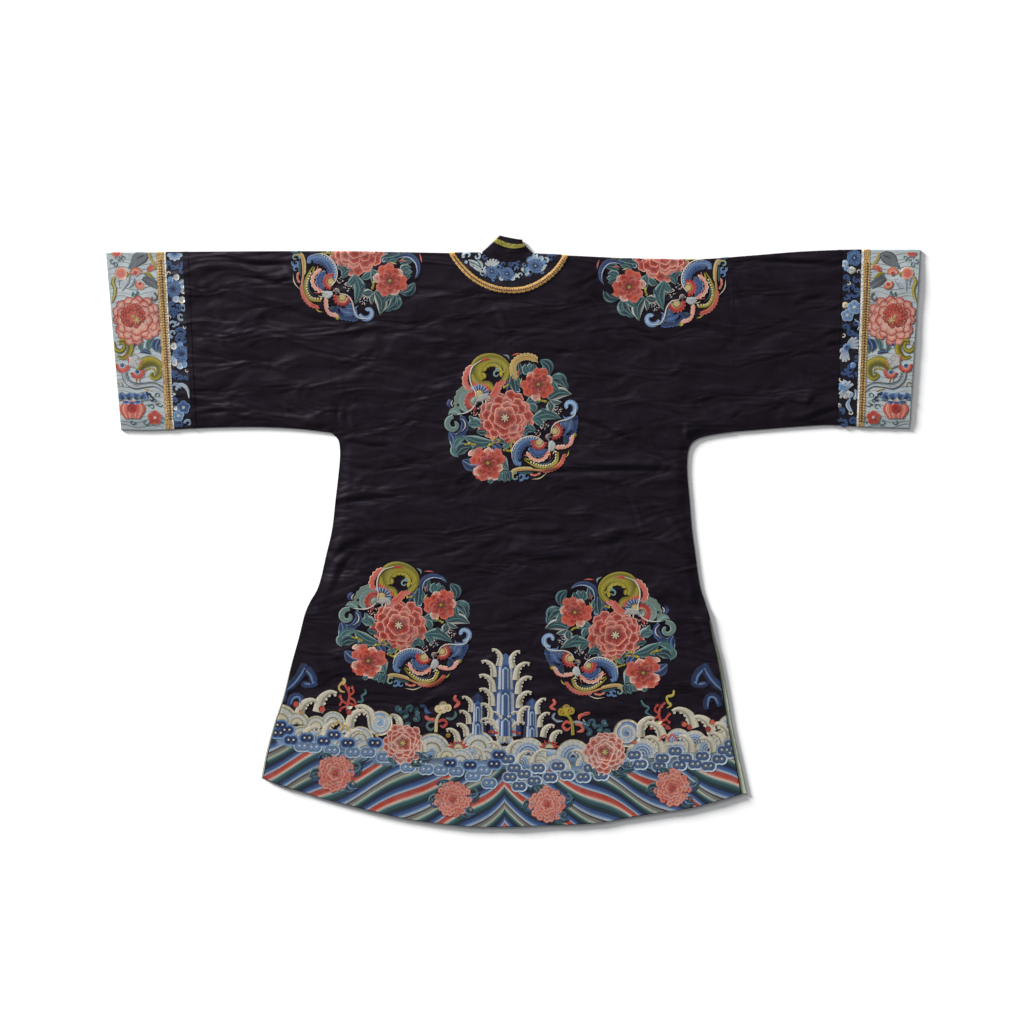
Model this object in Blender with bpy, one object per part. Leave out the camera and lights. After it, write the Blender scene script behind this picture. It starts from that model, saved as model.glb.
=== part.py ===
"""A silk robe lying flat with its back upward, sleeves spread out."""
import math

import bpy
import bmesh
from mathutils import Vector

for item in list(bpy.data.objects):
    bpy.data.objects.remove(item, do_unlink=True)

# Thicknesses and gaps, in millimetres
CLOTH = 1.4
TRIM = 1.0
SEAM_GAP = 0.3
FOLD_R = 1.25
FRONT_REST = 0.5 * CLOTH
NECK_RAISE = SEAM_GAP + TRIM
QUARTER = 0.5 * math.pi * FOLD_R
BACK_LOFT = 0.9
SEWN_RISE = CLOTH + SEAM_GAP
SEWN_REACH = 22.0
FRONT_OPENING_X = -3.0
FRONT_OPENING = 1.2

# Upper edge of the laid-out robe: x, y
TOP_EDGE = (
    (-732.6, 502.2), (-563.4, 503.1), (-383.4, 504.0), (-203.4, 502.2),
    (-109.8, 500.4), (-57.6, 500.4), (37.8, 498.6), (102.6, 495.9),
    (228.6, 490.5), (336.6, 489.6), (426.6, 495.9), (516.6, 503.1),
    (606.6, 506.7), (732.6, 507.6),
)

# Lower edge of the back: x, y
HEM_EDGE = (
    (-450.0, -444.6), (-419.4, -457.2), (-383.4, -468.0), (-338.4, -482.4),
    (-293.4, -494.1), (-239.4, -507.6), (-185.4, -519.3), (-131.4, -526.5),
    (-77.4, -531.9), (-9.0, -532.8), (48.6, -530.1), (111.6, -528.3),
    (156.6, -524.7), (210.6, -515.7), (264.6, -506.7), (318.6, -498.6),
    (363.6, -486.9), (411.3, -473.4),
)

# Lower edge of the sleeves from the underarm seam to the cuff end: x, y
SLEEVE_LOW = {
    "left": (
        (-705.6, 181.8), (-653.4, 180.9), (-563.4, 185.4), (-455.4, 187.2),
        (-383.4, 183.6), (-327.6, 177.1),
    ),
    "right": (
        (396.0, 178.6), (453.6, 183.2), (516.6, 188.1), (570.6, 190.8),
        (642.6, 186.3), (712.8, 184.5),
    ),
}

# Rows of a body length, hem to shoulder: centre seam x, y, side edge x, y
BODY_ROWS = {
    "left": (
        (-9.0, -532.8, -450.0, -444.6), (-9.0, -480.0, -441.0, -397.8),
        (-8.4, -425.0, -426.6, -343.8), (-8.4, -372.0, -412.2, -300.6),
        (-9.0, -310.0, -399.6, -246.6), (-9.0, -245.0, -385.2, -192.6),
        (-9.0, -190.0, -374.4, -149.4), (-9.0, -155.0, -365.4, -127.8),
        (-9.0, -120.0, -352.8, -106.2), (-9.0, -88.0, -345.6, -84.6),
        (-9.0, -45.0, -336.6, -45.0), (-8.1, 5.0, -325.8, 1.8),
        (-7.2, 55.0, -319.5, 55.8), (-6.3, 105.0, -314.1, 102.6),
        (-5.4, 148.0, -311.4, 135.0), (-5.4, 180.0, -312.1, 153.0),
        (-5.4, 205.0, -314.5, 163.8), (-5.0, 228.0, -319.9, 171.0),
        (-4.5, 252.0, -327.6, 177.1), (-4.0, 290.0, -327.6, 218.0),
        (-3.0, 330.0, -327.6, 262.0), (-2.0, 370.0, -327.6, 308.0),
        (-1.5, 410.0, -327.6, 356.0), (-1.0, 450.0, -327.6, 406.0),
    ),
    "right": (
        (-9.0, -532.8, 411.3, -473.4), (-9.0, -480.0, 401.4, -419.4),
        (-8.4, -425.0, 387.0, -347.4), (-8.4, -372.0, 379.8, -300.6),
        (-9.0, -310.0, 369.0, -235.8), (-9.0, -245.0, 359.1, -192.6),
        (-9.0, -190.0, 351.0, -149.4), (-9.0, -155.0, 345.6, -127.8),
        (-9.0, -120.0, 338.4, -106.2), (-9.0, -88.0, 333.9, -84.6),
        (-9.0, -45.0, 328.5, -45.0), (-8.1, 5.0, 322.2, 1.8),
        (-7.2, 55.0, 317.7, 55.8), (-6.3, 105.0, 313.7, 102.6),
        (-5.4, 148.0, 314.1, 135.0), (-5.4, 175.0, 317.7, 151.2),
        (-5.4, 198.0, 324.9, 161.1), (-5.0, 218.0, 336.6, 167.8),
        (-4.8, 238.0, 358.2, 173.2), (-4.5, 260.0, 396.0, 178.6),
        (-3.5, 305.0, 396.0, 226.0), (-2.5, 352.0, 396.0, 280.0),
        (-1.5, 402.0, 396.0, 338.0), (-1.0, 450.0, 396.0, 396.0),
    ),
}
SEWN_ROWS = {"left": 7, "right": 7}
ARM_ROW = {"left": 18, "right": 19}
HEM_ROWS = 7

# Rows of the neck from the front opening round to the centre back, with s the
# cloth length from the shoulder fold: neck x, s, collar trim edge x, s, arm s
NECK_ROWS = {
    "left": (
        (-3.6, -30.4, -3.6, -90.0, -66.0), (-15.0, -29.6, -28.0, -87.5, -55.0),
        (-27.5, -27.0, -54.0, -80.0, -44.0), (-39.0, -22.2, -76.0, -64.5, -33.0),
        (-48.5, -15.4, -94.0, -43.0, -22.0), (-55.0, -7.8, -105.5, -20.0, -11.0),
        (-57.4, -1.964, -109.5, -1.964, -1.964),
        (-57.6, -0.982, -109.8, -0.982, -0.982),
        (-57.6, 0.0, -109.8, 0.0, 0.0),
        (-57.2, 0.982, -109.8, 0.982, 0.982),
        (-56.4, 1.964, -109.4, 1.964, 1.964),
        (-51.0, 4.5, -104.0, 10.5, 10.0), (-43.5, 7.2, -92.5, 25.0, 20.0),
        (-34.0, 10.0, -76.0, 41.5, 31.0), (-23.5, 12.8, -55.5, 54.8, 43.0),
        (-12.0, 15.0, -31.0, 63.8, 56.0), (-1.0, 15.8, -6.0, 66.4, 70.0),
    ),
    "right": (
        (-2.4, -30.4, -2.4, -90.0, -66.0), (9.0, -29.6, 23.0, -87.5, -55.0),
        (19.0, -27.0, 46.0, -80.0, -44.0), (27.0, -22.2, 66.0, -64.5, -33.0),
        (33.0, -15.4, 81.0, -43.0, -22.0), (36.8, -7.8, 90.0, -20.0, -11.0),
        (37.8, -1.964, 93.2, -1.964, -1.964),
        (37.8, -0.982, 93.5, -0.982, -0.982),
        (37.8, 0.0, 93.5, 0.0, 0.0),
        (37.6, 0.982, 93.5, 0.982, 0.982),
        (37.2, 1.964, 93.2, 1.964, 1.964),
        (34.0, 4.2, 87.5, 13.0, 10.0), (29.0, 7.2, 77.5, 27.0, 20.0),
        (23.0, 9.8, 63.0, 40.8, 31.0), (16.0, 12.4, 44.5, 53.8, 43.0),
        (8.0, 14.8, 20.5, 63.6, 56.0), (-1.0, 15.8, -6.0, 66.4, 70.0),
    ),
}

# Columns of a body length, as shares of the way from centre seam to side
BODY_COLUMNS = (0.0, 0.1, 0.22, 0.35, 0.48, 0.61, 0.74, 0.85, 0.93, 0.978, 1.0)

# How far the front panel shows past the back below the slits: y, width
FRONT_SHOWS = {
    "left": ((-460.0, 3.0), (-300.0, 2.0), (-200.0, 0.6), (-127.8, 0.0)),
    "right": ((-480.0, 10.0), (-400.0, 7.5), (-235.0, 5.6), (-160.0, 2.4), (-127.8, 0.0)),
}

# Bands of each cuff, outward from the sleeve: name, outer edge x at the top,
# outer edge x at the bottom, material
CUFF_START = {"left": (-585.0, -570.6), "right": (585.0, 576.9)}
CUFF_BANDS = {
    "left": (
        ("cuff_piping_left", -594.0, -577.8, "black_silk"),
        ("cuff_band_left", -625.1, -609.6, "embroidered_ribbon"),
        ("cuff_cord_left", -628.6, -612.9, "white_cord"),
        ("cuff_braid_left", -642.6, -624.6, "gold_braid"),
        ("cuff_facing_left", -732.6, -705.6, "grey_blue_silk"),
    ),
    "right": (
        ("cuff_piping_right", 592.2, 583.2, "black_silk"),
        ("cuff_band_right", 627.6, 618.2, "embroidered_ribbon"),
        ("cuff_cord_right", 632.0, 622.2, "white_cord"),
        ("cuff_braid_right", 643.0, 631.4, "gold_braid"),
        ("cuff_facing_right", 732.6, 712.8, "grey_blue_silk"),
    ),
}

# Broad soft folds of the upper cloth: from x, y to x, y, half width, height
FOLDS = (
    (60.0, 102.0, 318.0, 92.0, 26.0, 0.9),
    (120.0, 440.0, 300.0, 310.0, 34.0, 0.9),
    (190.0, 330.0, 325.0, 195.0, 32.0, 0.8),
    (-305.0, 72.0, -130.0, 22.0, 34.0, 0.8),
    (-335.0, -60.0, -255.0, -150.0, 34.0, 0.9),
    (25.0, -55.0, 185.0, -105.0, 32.0, 0.9),
    (235.0, -30.0, 325.0, -110.0, 32.0, 0.9),
    (-140.0, -15.0, -10.0, -65.0, 30.0, 0.7),
    (-170.0, 330.0, 60.0, 372.0, 34.0, 0.6),
    (-560.0, 300.0, -360.0, 335.0, 44.0, 0.6),
    (470.0, 330.0, 585.0, 400.0, 40.0, 0.7),
    (-480.0, 455.0, -330.0, 430.0, 30.0, 0.6),
    (-380.0, -395.0, -240.0, -360.0, 34.0, 0.6),
    (90.0, -330.0, 330.0, -370.0, 36.0, 0.6),
)

# Plain colours: red, green, blue, roughness
MATERIALS = {
    "black_silk": (0.018, 0.014, 0.021, 0.42),
    "embroidered_ribbon": (0.035, 0.06, 0.11, 0.5),
    "white_cord": (0.62, 0.62, 0.58, 0.6),
    "gold_braid": (0.40, 0.25, 0.08, 0.45),
    "olive_braid": (0.30, 0.26, 0.05, 0.5),
    "grey_blue_silk": (0.42, 0.50, 0.55, 0.45),
    "celadon_silk": (0.33, 0.37, 0.28, 0.5),
    "navy_embroidery": (0.03, 0.05, 0.10, 0.5),
}


def curve(table, x, column=1):
    """Smooth curve through the rows of a table, by a column against x."""
    rows = sorted(table)
    if x <= rows[0][0]:
        return rows[0][column]
    if x >= rows[-1][0]:
        return rows[-1][column]
    k = 0
    while x > rows[k + 1][0]:
        k += 1
    x0, x1 = rows[k][0], rows[k + 1][0]
    y0, y1 = rows[k][column], rows[k + 1][column]
    slope = (y1 - y0) / (x1 - x0)
    before = slope
    after = slope
    if k > 0:
        before = 0.5 * (slope + (y0 - rows[k - 1][column]) / (x0 - rows[k - 1][0]))
    if k + 2 < len(rows):
        after = 0.5 * (slope + (rows[k + 2][column] - y1) / (rows[k + 2][0] - x1))
    t = (x - x0) / (x1 - x0)
    h = x1 - x0
    return (
        (2 * t ** 3 - 3 * t ** 2 + 1) * y0 + (t ** 3 - 2 * t ** 2 + t) * h * before
        + (3 * t ** 2 - 2 * t ** 3) * y1 + (t ** 3 - t ** 2) * h * after
    )


def ease(t):
    """Smooth step from 0 to 1."""
    t = min(1.0, max(0.0, t))
    return t * t * (3.0 - 2.0 * t)


def refined(rows):
    """Rows with smooth midpoints added, apart from those that turn over the fold."""
    result = []
    for k, row in enumerate(rows):
        result.append(row)
        if k + 1 == len(rows) or abs(row[1]) < QUARTER or abs(rows[k + 1][1]) < QUARTER:
            continue
        first = k == 0 or abs(rows[k - 1][1]) < QUARTER
        last = k + 2 == len(rows) or abs(rows[k + 2][1]) < QUARTER
        before = rows[k - 1] if not first else None
        after = rows[k + 2] if not last else None
        middle = []
        for c in range(len(row)):
            p, q = row[c], rows[k + 1][c]
            if before and after:
                middle.append((9.0 * (p + q) - before[c] - after[c]) / 16.0)
            elif before:
                middle.append((6.0 * p + 3.0 * q - before[c]) / 8.0)
            else:
                middle.append((3.0 * p + 6.0 * q - after[c]) / 8.0)
        result.append(tuple(middle))
    return result


NECK = {side: refined(rows) for side, rows in NECK_ROWS.items()}


def segment_distance(x, y, x0, y0, x1, y1):
    """Distance to a segment and the share of the way along it."""
    dx, dy = x1 - x0, y1 - y0
    t = ((x - x0) * dx + (y - y0) * dy) / (dx * dx + dy * dy)
    t = min(1.0, max(0.0, t))
    return math.hypot(x - x0 - t * dx, y - y0 - t * dy), t


def sewn_line(side):
    """Side seam and underarm edge, where back and front are sewn together."""
    rows = BODY_ROWS[side][SEWN_ROWS[side]:ARM_ROW[side] + 1]
    points = [(row[2], row[3]) for row in rows]
    sleeve = sorted(SLEEVE_LOW[side], key=lambda row: abs(row[0]))
    return points + [(row[0], row[1]) for row in sleeve[1:]]


SEWN = {side: sewn_line(side) for side in ("left", "right")}


def sewn_share(x, y):
    """0 on the sewn edges, 1 away from them."""
    line = SEWN["left" if x < 0 else "right"]
    near = min(segment_distance(x, y, *a, *b)[0] for a, b in zip(line, line[1:]))
    return ease(near / SEWN_REACH)


def front_mid(x, y):
    """Middle of the front layer, raised a little over the neck trims."""
    away = math.hypot((x + 8.0) / 128.0, (y - 488.0) / 108.0)
    return FRONT_REST + NECK_RAISE * (1.0 - ease((away - 1.0) / 0.6))


def back_mid(x, y):
    """Middle of the back layer with its broad folds."""
    drop = curve(TOP_EDGE, x) - y
    lift = BACK_LOFT * ease(drop / 45.0)
    for x0, y0, x1, y1, width, height in FOLDS:
        away, along = segment_distance(x, y, x0, y0, x1, y1)
        lift += height * math.exp(-(away / width) ** 2) * ease(drop / 40.0)
    share = sewn_share(x, y)
    return front_mid(x, y) + SEWN_RISE + share * (2.0 * FOLD_R - SEWN_RISE + lift)


def fold_line(x):
    """Height on the page of the centre of the shoulder fold."""
    return curve(TOP_EDGE, x) - 0.5 * CLOTH - FOLD_R


def place(x, s, lift):
    """Cloth point s from the shoulder fold, moved out from the cloth by lift."""
    centre = fold_line(x)
    if abs(s) <= QUARTER:
        angle = s / FOLD_R
        y = centre + (FOLD_R + lift) * math.cos(angle)
        return x, y, front_mid(x, centre) + FOLD_R + (FOLD_R + lift) * math.sin(angle)
    y = centre - (abs(s) - QUARTER)
    if s > 0:
        return x, y, back_mid(x, y) + lift
    return x, y, front_mid(x, y) - lift


def length_at(x, y):
    """Cloth length from the shoulder fold to a height on the page."""
    return fold_line(x) - y + QUARTER


def add_piece(name, grid, material, ring=False):
    """Solid from a grid of (outer, inner) points; ring joins the last row to the first."""
    rows = len(grid)
    columns = len(grid[0])
    mesh = bpy.data.meshes.new(name)
    bm = bmesh.new()
    verts = [[[bm.verts.new(Vector(p) * 0.001) for p in pair] for pair in row] for row in grid]
    steps = rows if ring else rows - 1
    for i in range(steps):
        here, there = verts[i], verts[(i + 1) % rows]
        for j in range(columns - 1):
            bm.faces.new((here[j][0], here[j + 1][0], there[j + 1][0], there[j][0]))
            bm.faces.new((here[j][1], there[j][1], there[j + 1][1], here[j + 1][1]))
        for j in (0, columns - 1):
            bm.faces.new((here[j][0], there[j][0], there[j][1], here[j][1]))
    if not ring:
        for i in (0, rows - 1):
            for j in range(columns - 1):
                a, b = verts[i][j], verts[i][j + 1]
                bm.faces.new((a[0], b[0], b[1], a[1]))
    bmesh.ops.recalc_face_normals(bm, faces=bm.faces)
    if bm.calc_volume(signed=True) < 0:
        bmesh.ops.reverse_faces(bm, faces=bm.faces)
    bm.to_mesh(mesh)
    bm.free()
    mesh.polygons.foreach_set("use_smooth", [True] * len(mesh.polygons))
    mesh.set_sharp_from_angle(angle=math.radians(50))
    obj = bpy.data.objects.new(name, mesh)
    bpy.context.collection.objects.link(obj)
    red, green, blue, rough = MATERIALS[material]
    look = bpy.data.materials.new(name)
    look.use_nodes = True
    shader = look.node_tree.nodes["Principled BSDF"]
    shader.inputs["Base Color"].default_value = (red, green, blue, 1.0)
    shader.inputs["Roughness"].default_value = rough
    shader.inputs["Metallic"].default_value = 0.0
    mesh.materials.append(look)
    return obj


def layer(x, s, middle, thickness):
    """Outer and inner points of a piece whose middle is moved out from the cloth."""
    half = 0.5 * thickness
    return place(x, s, middle + half), place(x, s, middle - half)


# Body: two lengths of silk, each over one shoulder from back hem to front hem
def body_rows(side):
    """Rows of a body length in cloth coordinates: inner x, s and outer x, s."""
    turn = -1.0 if side == "left" else 1.0
    back = []
    front = []
    for seam_x, seam_y, side_x, side_y in BODY_ROWS[side]:
        gap = 0.5 * SEAM_GAP * turn
        arm_gap = gap if side_y > 176.0 else 0.0
        inner = seam_x + gap
        outer = side_x - arm_gap
        back.append((inner, length_at(inner, seam_y), outer, length_at(outer, side_y)))
        shown = curve(FRONT_SHOWS[side], side_y) if side_y < -127.8 else 0.0
        inner = FRONT_OPENING_X + 0.5 * FRONT_OPENING * turn
        outer = side_x - arm_gap + shown * turn
        front.append((inner, -length_at(inner, seam_y), outer, -length_at(outer, side_y)))
    neck = []
    for neck_x, neck_s, edge_x, edge_s, arm_s in NECK[side]:
        outer = BODY_ROWS[side][-1][2] - 0.5 * SEAM_GAP * turn
        inner = neck_x
        if abs(neck_x - BODY_ROWS[side][-1][0]) < 0.01:
            inner = neck_x + 0.5 * SEAM_GAP * turn
        neck.append((inner, neck_s, outer, arm_s))
    return front + neck + back[::-1]


def body_grid(side, middle, thickness):
    """Grid of a body length with its curved hems."""
    rows = body_rows(side)
    count = len(rows)
    grid = []
    for k, (x0, s0, x1, s1) in enumerate(rows):
        share = max(0.0, 1.0 - min(k, count - 1 - k) / HEM_ROWS)
        sign = -1.0 if k < count // 2 else 1.0
        line = []
        for u in BODY_COLUMNS:
            x = x0 + (x1 - x0) * u
            s = s0 + (s1 - s0) * u
            if share > 0.0:
                x_hem = rows[0][0] + (rows[0][2] - rows[0][0]) * u
                s_hem = rows[0][1] + (rows[0][3] - rows[0][1]) * u
                bow = length_at(x_hem, curve(HEM_EDGE, x_hem)) + s_hem
                s += sign * bow * share
            line.append(layer(x, s, middle, thickness))
        grid.append(line)
    return grid


add_piece("body_left", body_grid("left", 0.0, CLOTH), "black_silk")
add_piece("body_right", body_grid("right", 0.0, CLOTH), "black_silk")

# Sleeves and cuff bands: flattened tubes joined end to end
ARC = (-90.0, -45.0, 0.0, 45.0, 90.0)
DOWN_BACK = (0.04, 0.12, 0.25, 0.4, 0.55, 0.7, 0.83, 0.92, 0.97)
UP_FRONT = (0.8, 0.5, 0.2)


def tube_row(side, edges, columns):
    """Stations round a flattened tube; edges gives x at the top and bottom of each end."""
    (top0, low0), (top1, low1) = edges
    rows = []
    stations = [("top", a) for a in ARC] + [("back", v) for v in DOWN_BACK]
    stations += [("low", -a) for a in ARC] + [("front", v) for v in UP_FRONT]
    for kind, value in stations:
        v = {"top": 0.0, "low": 1.0}.get(kind, value)
        line = []
        for u in columns:
            x = (top0 + (top1 - top0) * u) * (1.0 - v) + (low0 + (low1 - low0) * u) * v
            line.append(tube_point(side, x, kind, value))
        rows.append(line)
    return rows


def tube_point(side, x, kind, value):
    """Outer and inner points at one station of a tube."""
    low = curve(SLEEVE_LOW[side], x)
    low_r = 0.5 * (back_mid(x, low + 1.55) - front_mid(x, low))
    upper = fold_line(x)
    lower = low + 0.5 * CLOTH + low_r
    y = upper + (lower - upper) * value
    points = []
    for lift in (0.5 * CLOTH, -0.5 * CLOTH):
        if kind == "top":
            points.append(place(x, math.radians(value) * FOLD_R, lift))
        elif kind == "back":
            points.append((x, y, back_mid(x, y) + lift))
        elif kind == "front":
            points.append((x, y, front_mid(x, y) - lift))
        else:
            angle = math.radians(value)
            z = front_mid(x, low) + low_r + (low_r + lift) * math.sin(angle)
            points.append((x, lower - (low_r + lift) * math.cos(angle), z))
    return tuple(points)


SLEEVE_COLUMNS = (0.0, 0.2, 0.4, 0.6, 0.8, 1.0)
BAND_COLUMNS = {"facing": (0.0, 0.33, 0.67, 1.0), "band": (0.0, 0.5, 1.0)}

for side, turn in (("left", -1.0), ("right", 1.0)):
    gap = 0.5 * SEAM_GAP * turn
    seam_x = BODY_ROWS[side][-1][2] + gap
    start = CUFF_START[side]
    edges = ((seam_x, seam_x), (start[0] - gap, start[1] - gap))
    add_piece("sleeve_" + side, tube_row(side, edges, SLEEVE_COLUMNS), "black_silk", ring=True)
    for name, top_x, low_x, material in CUFF_BANDS[side]:
        edges = ((start[0] + gap, start[1] + gap), (top_x - gap, low_x - gap))
        columns = BAND_COLUMNS.get(name.split("_")[1], (0.0, 1.0))
        add_piece(name, tube_row(side, edges, columns), material, ring=True)
        start = (top_x, low_x)

# Neck trims: an embroidered round and a gold braid on its outer edge, both
# open at the front
TRIM_LIFT = 0.5 * CLOTH + SEAM_GAP + 0.5 * TRIM
BRAID_WIDTH = 10.4
NECK_INSET = 1.2


def neck_stations():
    """Neck rows in order from the left front opening to the right front opening."""
    return NECK["left"] + NECK["right"][-2::-1]


def neck_band(name, near, far, material, columns):
    """Band round the neck between two distances from the trim edge or neck edge."""
    grid = []
    for neck_x, neck_s, edge_x, edge_s, arm_s in neck_stations():
        length = math.hypot(edge_x - neck_x, edge_s - neck_s)
        line = []
        for u in columns:
            t = (near(length) + (far(length) - near(length)) * u) / length
            x = neck_x + (edge_x - neck_x) * t
            s = neck_s + (edge_s - neck_s) * t
            line.append(layer(x, s, TRIM_LIFT, TRIM))
        grid.append(line)
    add_piece(name, grid, material)


neck_band(
    "neck_round", lambda d: NECK_INSET, lambda d: d - 0.5 * BRAID_WIDTH - SEAM_GAP,
    "navy_embroidery", (0.0, 0.5, 1.0),
)
neck_band(
    "neck_braid", lambda d: d - 0.5 * BRAID_WIDTH, lambda d: d + 0.5 * BRAID_WIDTH,
    "gold_braid", (0.0, 1.0),
)

# Collar: a low standing band folded flat, back half above and front halves
# below, with an olive braid near its top edge. Its folded ends: height share, x, y
COLLAR_LEFT = ((0.0, -56.4, 501.8), (1.0, -23.4, 532.8))
COLLAR_RIGHT = ((0.0, 36.6, 500.0), (0.62, 19.8, 516.6), (1.0, 16.2, 525.6))
COLLAR_OUTWARD = {"left": (-0.68, 0.73), "right": (0.76, 0.65)}
COLLAR_BASE_GAP = 0.7
COLLAR_BACK_SAG = 0.5
COLLAR_FRONT_DROP = 14.0
COLLAR_HEIGHTS = (0.0, 0.25, 0.5, 0.75, 1.0)
COLLAR_BRAID_LEFT = (0.63, 0.83)
COLLAR_BRAID_RIGHT = (0.50, 0.70)
COLLAR_Z = front_mid(-10.0, 490.0)


def collar_end(side, height):
    """Folded end of the collar at a height, and the point where its flat part starts."""
    table = COLLAR_LEFT if side == "left" else COLLAR_RIGHT
    edge = Vector((curve(table, height, 1), curve(table, height, 2)))
    out = Vector(COLLAR_OUTWARD[side]).normalized()
    return edge, out, edge - out * (FOLD_R + 0.5 * CLOTH)


def collar_point(station, height, lift):
    """Point of the flattened collar at a station, moved out from it by lift."""
    kind, value, spread = station
    if kind in ("left", "right"):
        edge, out, centre = collar_end(kind, height)
        angle = math.radians(value)
        spot = centre + out * (FOLD_R + lift) * math.cos(angle)
        return spot.x, spot.y, COLLAR_Z + FOLD_R + (FOLD_R + lift) * math.sin(angle)
    neck_x, neck_s = value
    left_foot = collar_end("left", 0.0)[2]
    right_foot = collar_end("right", 0.0)[2]
    foot = (neck_x - left_foot.x) / (right_foot.x - left_foot.x)
    neck_y = fold_line(neck_x) - (abs(neck_s) - QUARTER) + COLLAR_BASE_GAP
    bow = left_foot.y + (right_foot.y - left_foot.y) * foot - neck_y
    share = foot + (spread - foot) * height
    left = collar_end("left", height)[2]
    right = collar_end("right", height)[2]
    drop = COLLAR_BACK_SAG if neck_s > 0 else COLLAR_FRONT_DROP
    x = left.x + (right.x - left.x) * share
    y = left.y + (right.y - left.y) * share
    y -= bow * (1.0 - height) + drop * 4.0 * share * (1.0 - share) * height
    z = COLLAR_Z + 2.0 * FOLD_R + lift if neck_s > 0 else COLLAR_Z - lift
    return x, y, z


def collar_stations():
    """Stations round the collar from the left front end to the right front end."""
    front_left = [row for row in NECK["left"] if row[1] < -QUARTER - 0.01]
    front_right = [row for row in NECK["right"] if row[1] < -QUARTER - 0.01][::-1]
    back = [row for row in NECK["left"] if row[1] > QUARTER + 0.01]
    back += [row for row in NECK["right"] if row[1] > QUARTER + 0.01][-2::-1]
    stations = []
    count = len(front_left)
    for k, row in enumerate(front_left):
        stations.append(("flat", row[:2], 0.56 * (count - k) / (count + 0.5)))
    stations += [("left", a, 0.0) for a in ARC]
    for k, row in enumerate(back):
        stations.append(("flat", row[:2], (k + 1.0) / (len(back) + 1.0)))
    stations += [("right", -a, 1.0) for a in ARC]
    count = len(front_right)
    for k, row in enumerate(front_right):
        stations.append(("flat", row[:2], 1.0 - 0.42 * (k + 1.0) / (count + 0.5)))
    return stations


def collar_piece(name, left_heights, right_heights, middle, thickness, material):
    """Band of the collar between heights given at its left and right folds."""
    half = 0.5 * thickness
    grid = []
    for station in collar_stations():
        line = []
        for low, high in zip(left_heights, right_heights):
            height = low + (high - low) * station[2]
            outer = collar_point(station, height, middle + half)
            line.append((outer, collar_point(station, height, middle - half)))
        grid.append(line)
    add_piece(name, grid, material)


collar_piece("collar", COLLAR_HEIGHTS, COLLAR_HEIGHTS, 0.0, CLOTH, "black_silk")
collar_piece(
    "collar_braid", COLLAR_BRAID_LEFT, COLLAR_BRAID_RIGHT, TRIM_LIFT, TRIM, "olive_braid"
)

# Lining of the front panels, seen as a narrow strip along each side slit
LINING_WIDTH = 46.0
LINING_INSET = 0.5
LINING_ROWS = 7

for side, turn in (("left", -1.0), ("right", 1.0)):
    rows = body_rows(side)
    grid = []
    for k, (x0, s0, x1, s1) in enumerate(rows[:LINING_ROWS]):
        outer = x1 - LINING_INSET * turn
        line = []
        for u in (0.0, 0.5, 1.0):
            x = outer - LINING_WIDTH * turn * u
            t = (x - x0) / (x1 - x0)
            s = s0 + (s1 - s0) * t
            if k < HEM_ROWS:
                x_hem = rows[0][0] + (rows[0][2] - rows[0][0]) * t
                s_hem = rows[0][1] + (rows[0][3] - rows[0][1]) * t
                bow = length_at(x_hem, curve(HEM_EDGE, x_hem)) + s_hem
                s -= bow * (1.0 - k / HEM_ROWS)
            if k == 0:
                s += 1.0
            line.append(layer(x, s, -TRIM_LIFT, TRIM))
        grid.append(line)
    add_piece("slit_lining_" + side, grid, "celadon_silk")
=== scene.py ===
import math
import random

import bmesh
import bpy
import numpy as np
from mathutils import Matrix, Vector


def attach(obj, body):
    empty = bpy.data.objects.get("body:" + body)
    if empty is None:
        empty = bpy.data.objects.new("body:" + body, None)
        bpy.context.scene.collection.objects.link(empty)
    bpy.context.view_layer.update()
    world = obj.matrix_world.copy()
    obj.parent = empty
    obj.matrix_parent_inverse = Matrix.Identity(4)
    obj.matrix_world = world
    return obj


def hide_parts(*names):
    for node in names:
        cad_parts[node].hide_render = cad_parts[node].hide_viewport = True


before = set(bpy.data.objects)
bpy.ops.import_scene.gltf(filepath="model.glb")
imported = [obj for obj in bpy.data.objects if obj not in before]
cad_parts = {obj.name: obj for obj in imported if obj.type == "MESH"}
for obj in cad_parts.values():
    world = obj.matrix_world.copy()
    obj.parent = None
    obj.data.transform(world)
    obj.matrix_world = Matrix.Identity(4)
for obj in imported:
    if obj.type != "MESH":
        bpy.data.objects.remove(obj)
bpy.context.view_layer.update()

# Camera, floor and light
# The robe lies on a plain pale floor and is seen from straight above.
# A low lamp from the upper left and a wide soft light overhead bring out the silk's folds.
camera = bpy.data.objects.new("camera", bpy.data.cameras.new("camera"))
bpy.context.collection.objects.link(camera)
camera.data.lens = 85.0
camera.data.sensor_width = 36.0
camera.data.clip_end = 50.0
camera.location = (-0.0018, 0.0342, 4.355)
bpy.context.scene.camera = camera

floor_mesh = bpy.data.meshes.new("floor")
floor_build = bmesh.new()
bmesh.ops.create_grid(floor_build, x_segments=1, y_segments=1, size=6.0)
floor_build.to_mesh(floor_mesh)
floor_build.free()
floor = bpy.data.objects.new("floor", floor_mesh)
bpy.context.collection.objects.link(floor)
floor_paint = bpy.data.materials.new("floor_paint")
floor_paint.use_nodes = True
floor_paint.node_tree.nodes["Principled BSDF"].inputs["Base Color"].default_value = (0.94, 0.94, 0.94, 1.0)
floor_paint.node_tree.nodes["Principled BSDF"].inputs["Roughness"].default_value = 0.9
floor_mesh.materials.append(floor_paint)

sun = bpy.data.objects.new("lamp_upper_left", bpy.data.lights.new("lamp_upper_left", "SUN"))
bpy.context.collection.objects.link(sun)
sun.data.energy = 12.2
sun.data.angle = math.radians(12.0)
sun.rotation_euler = Vector((-0.80, 0.66, 0.212)).to_track_quat("Z", "Y").to_euler()

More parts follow.
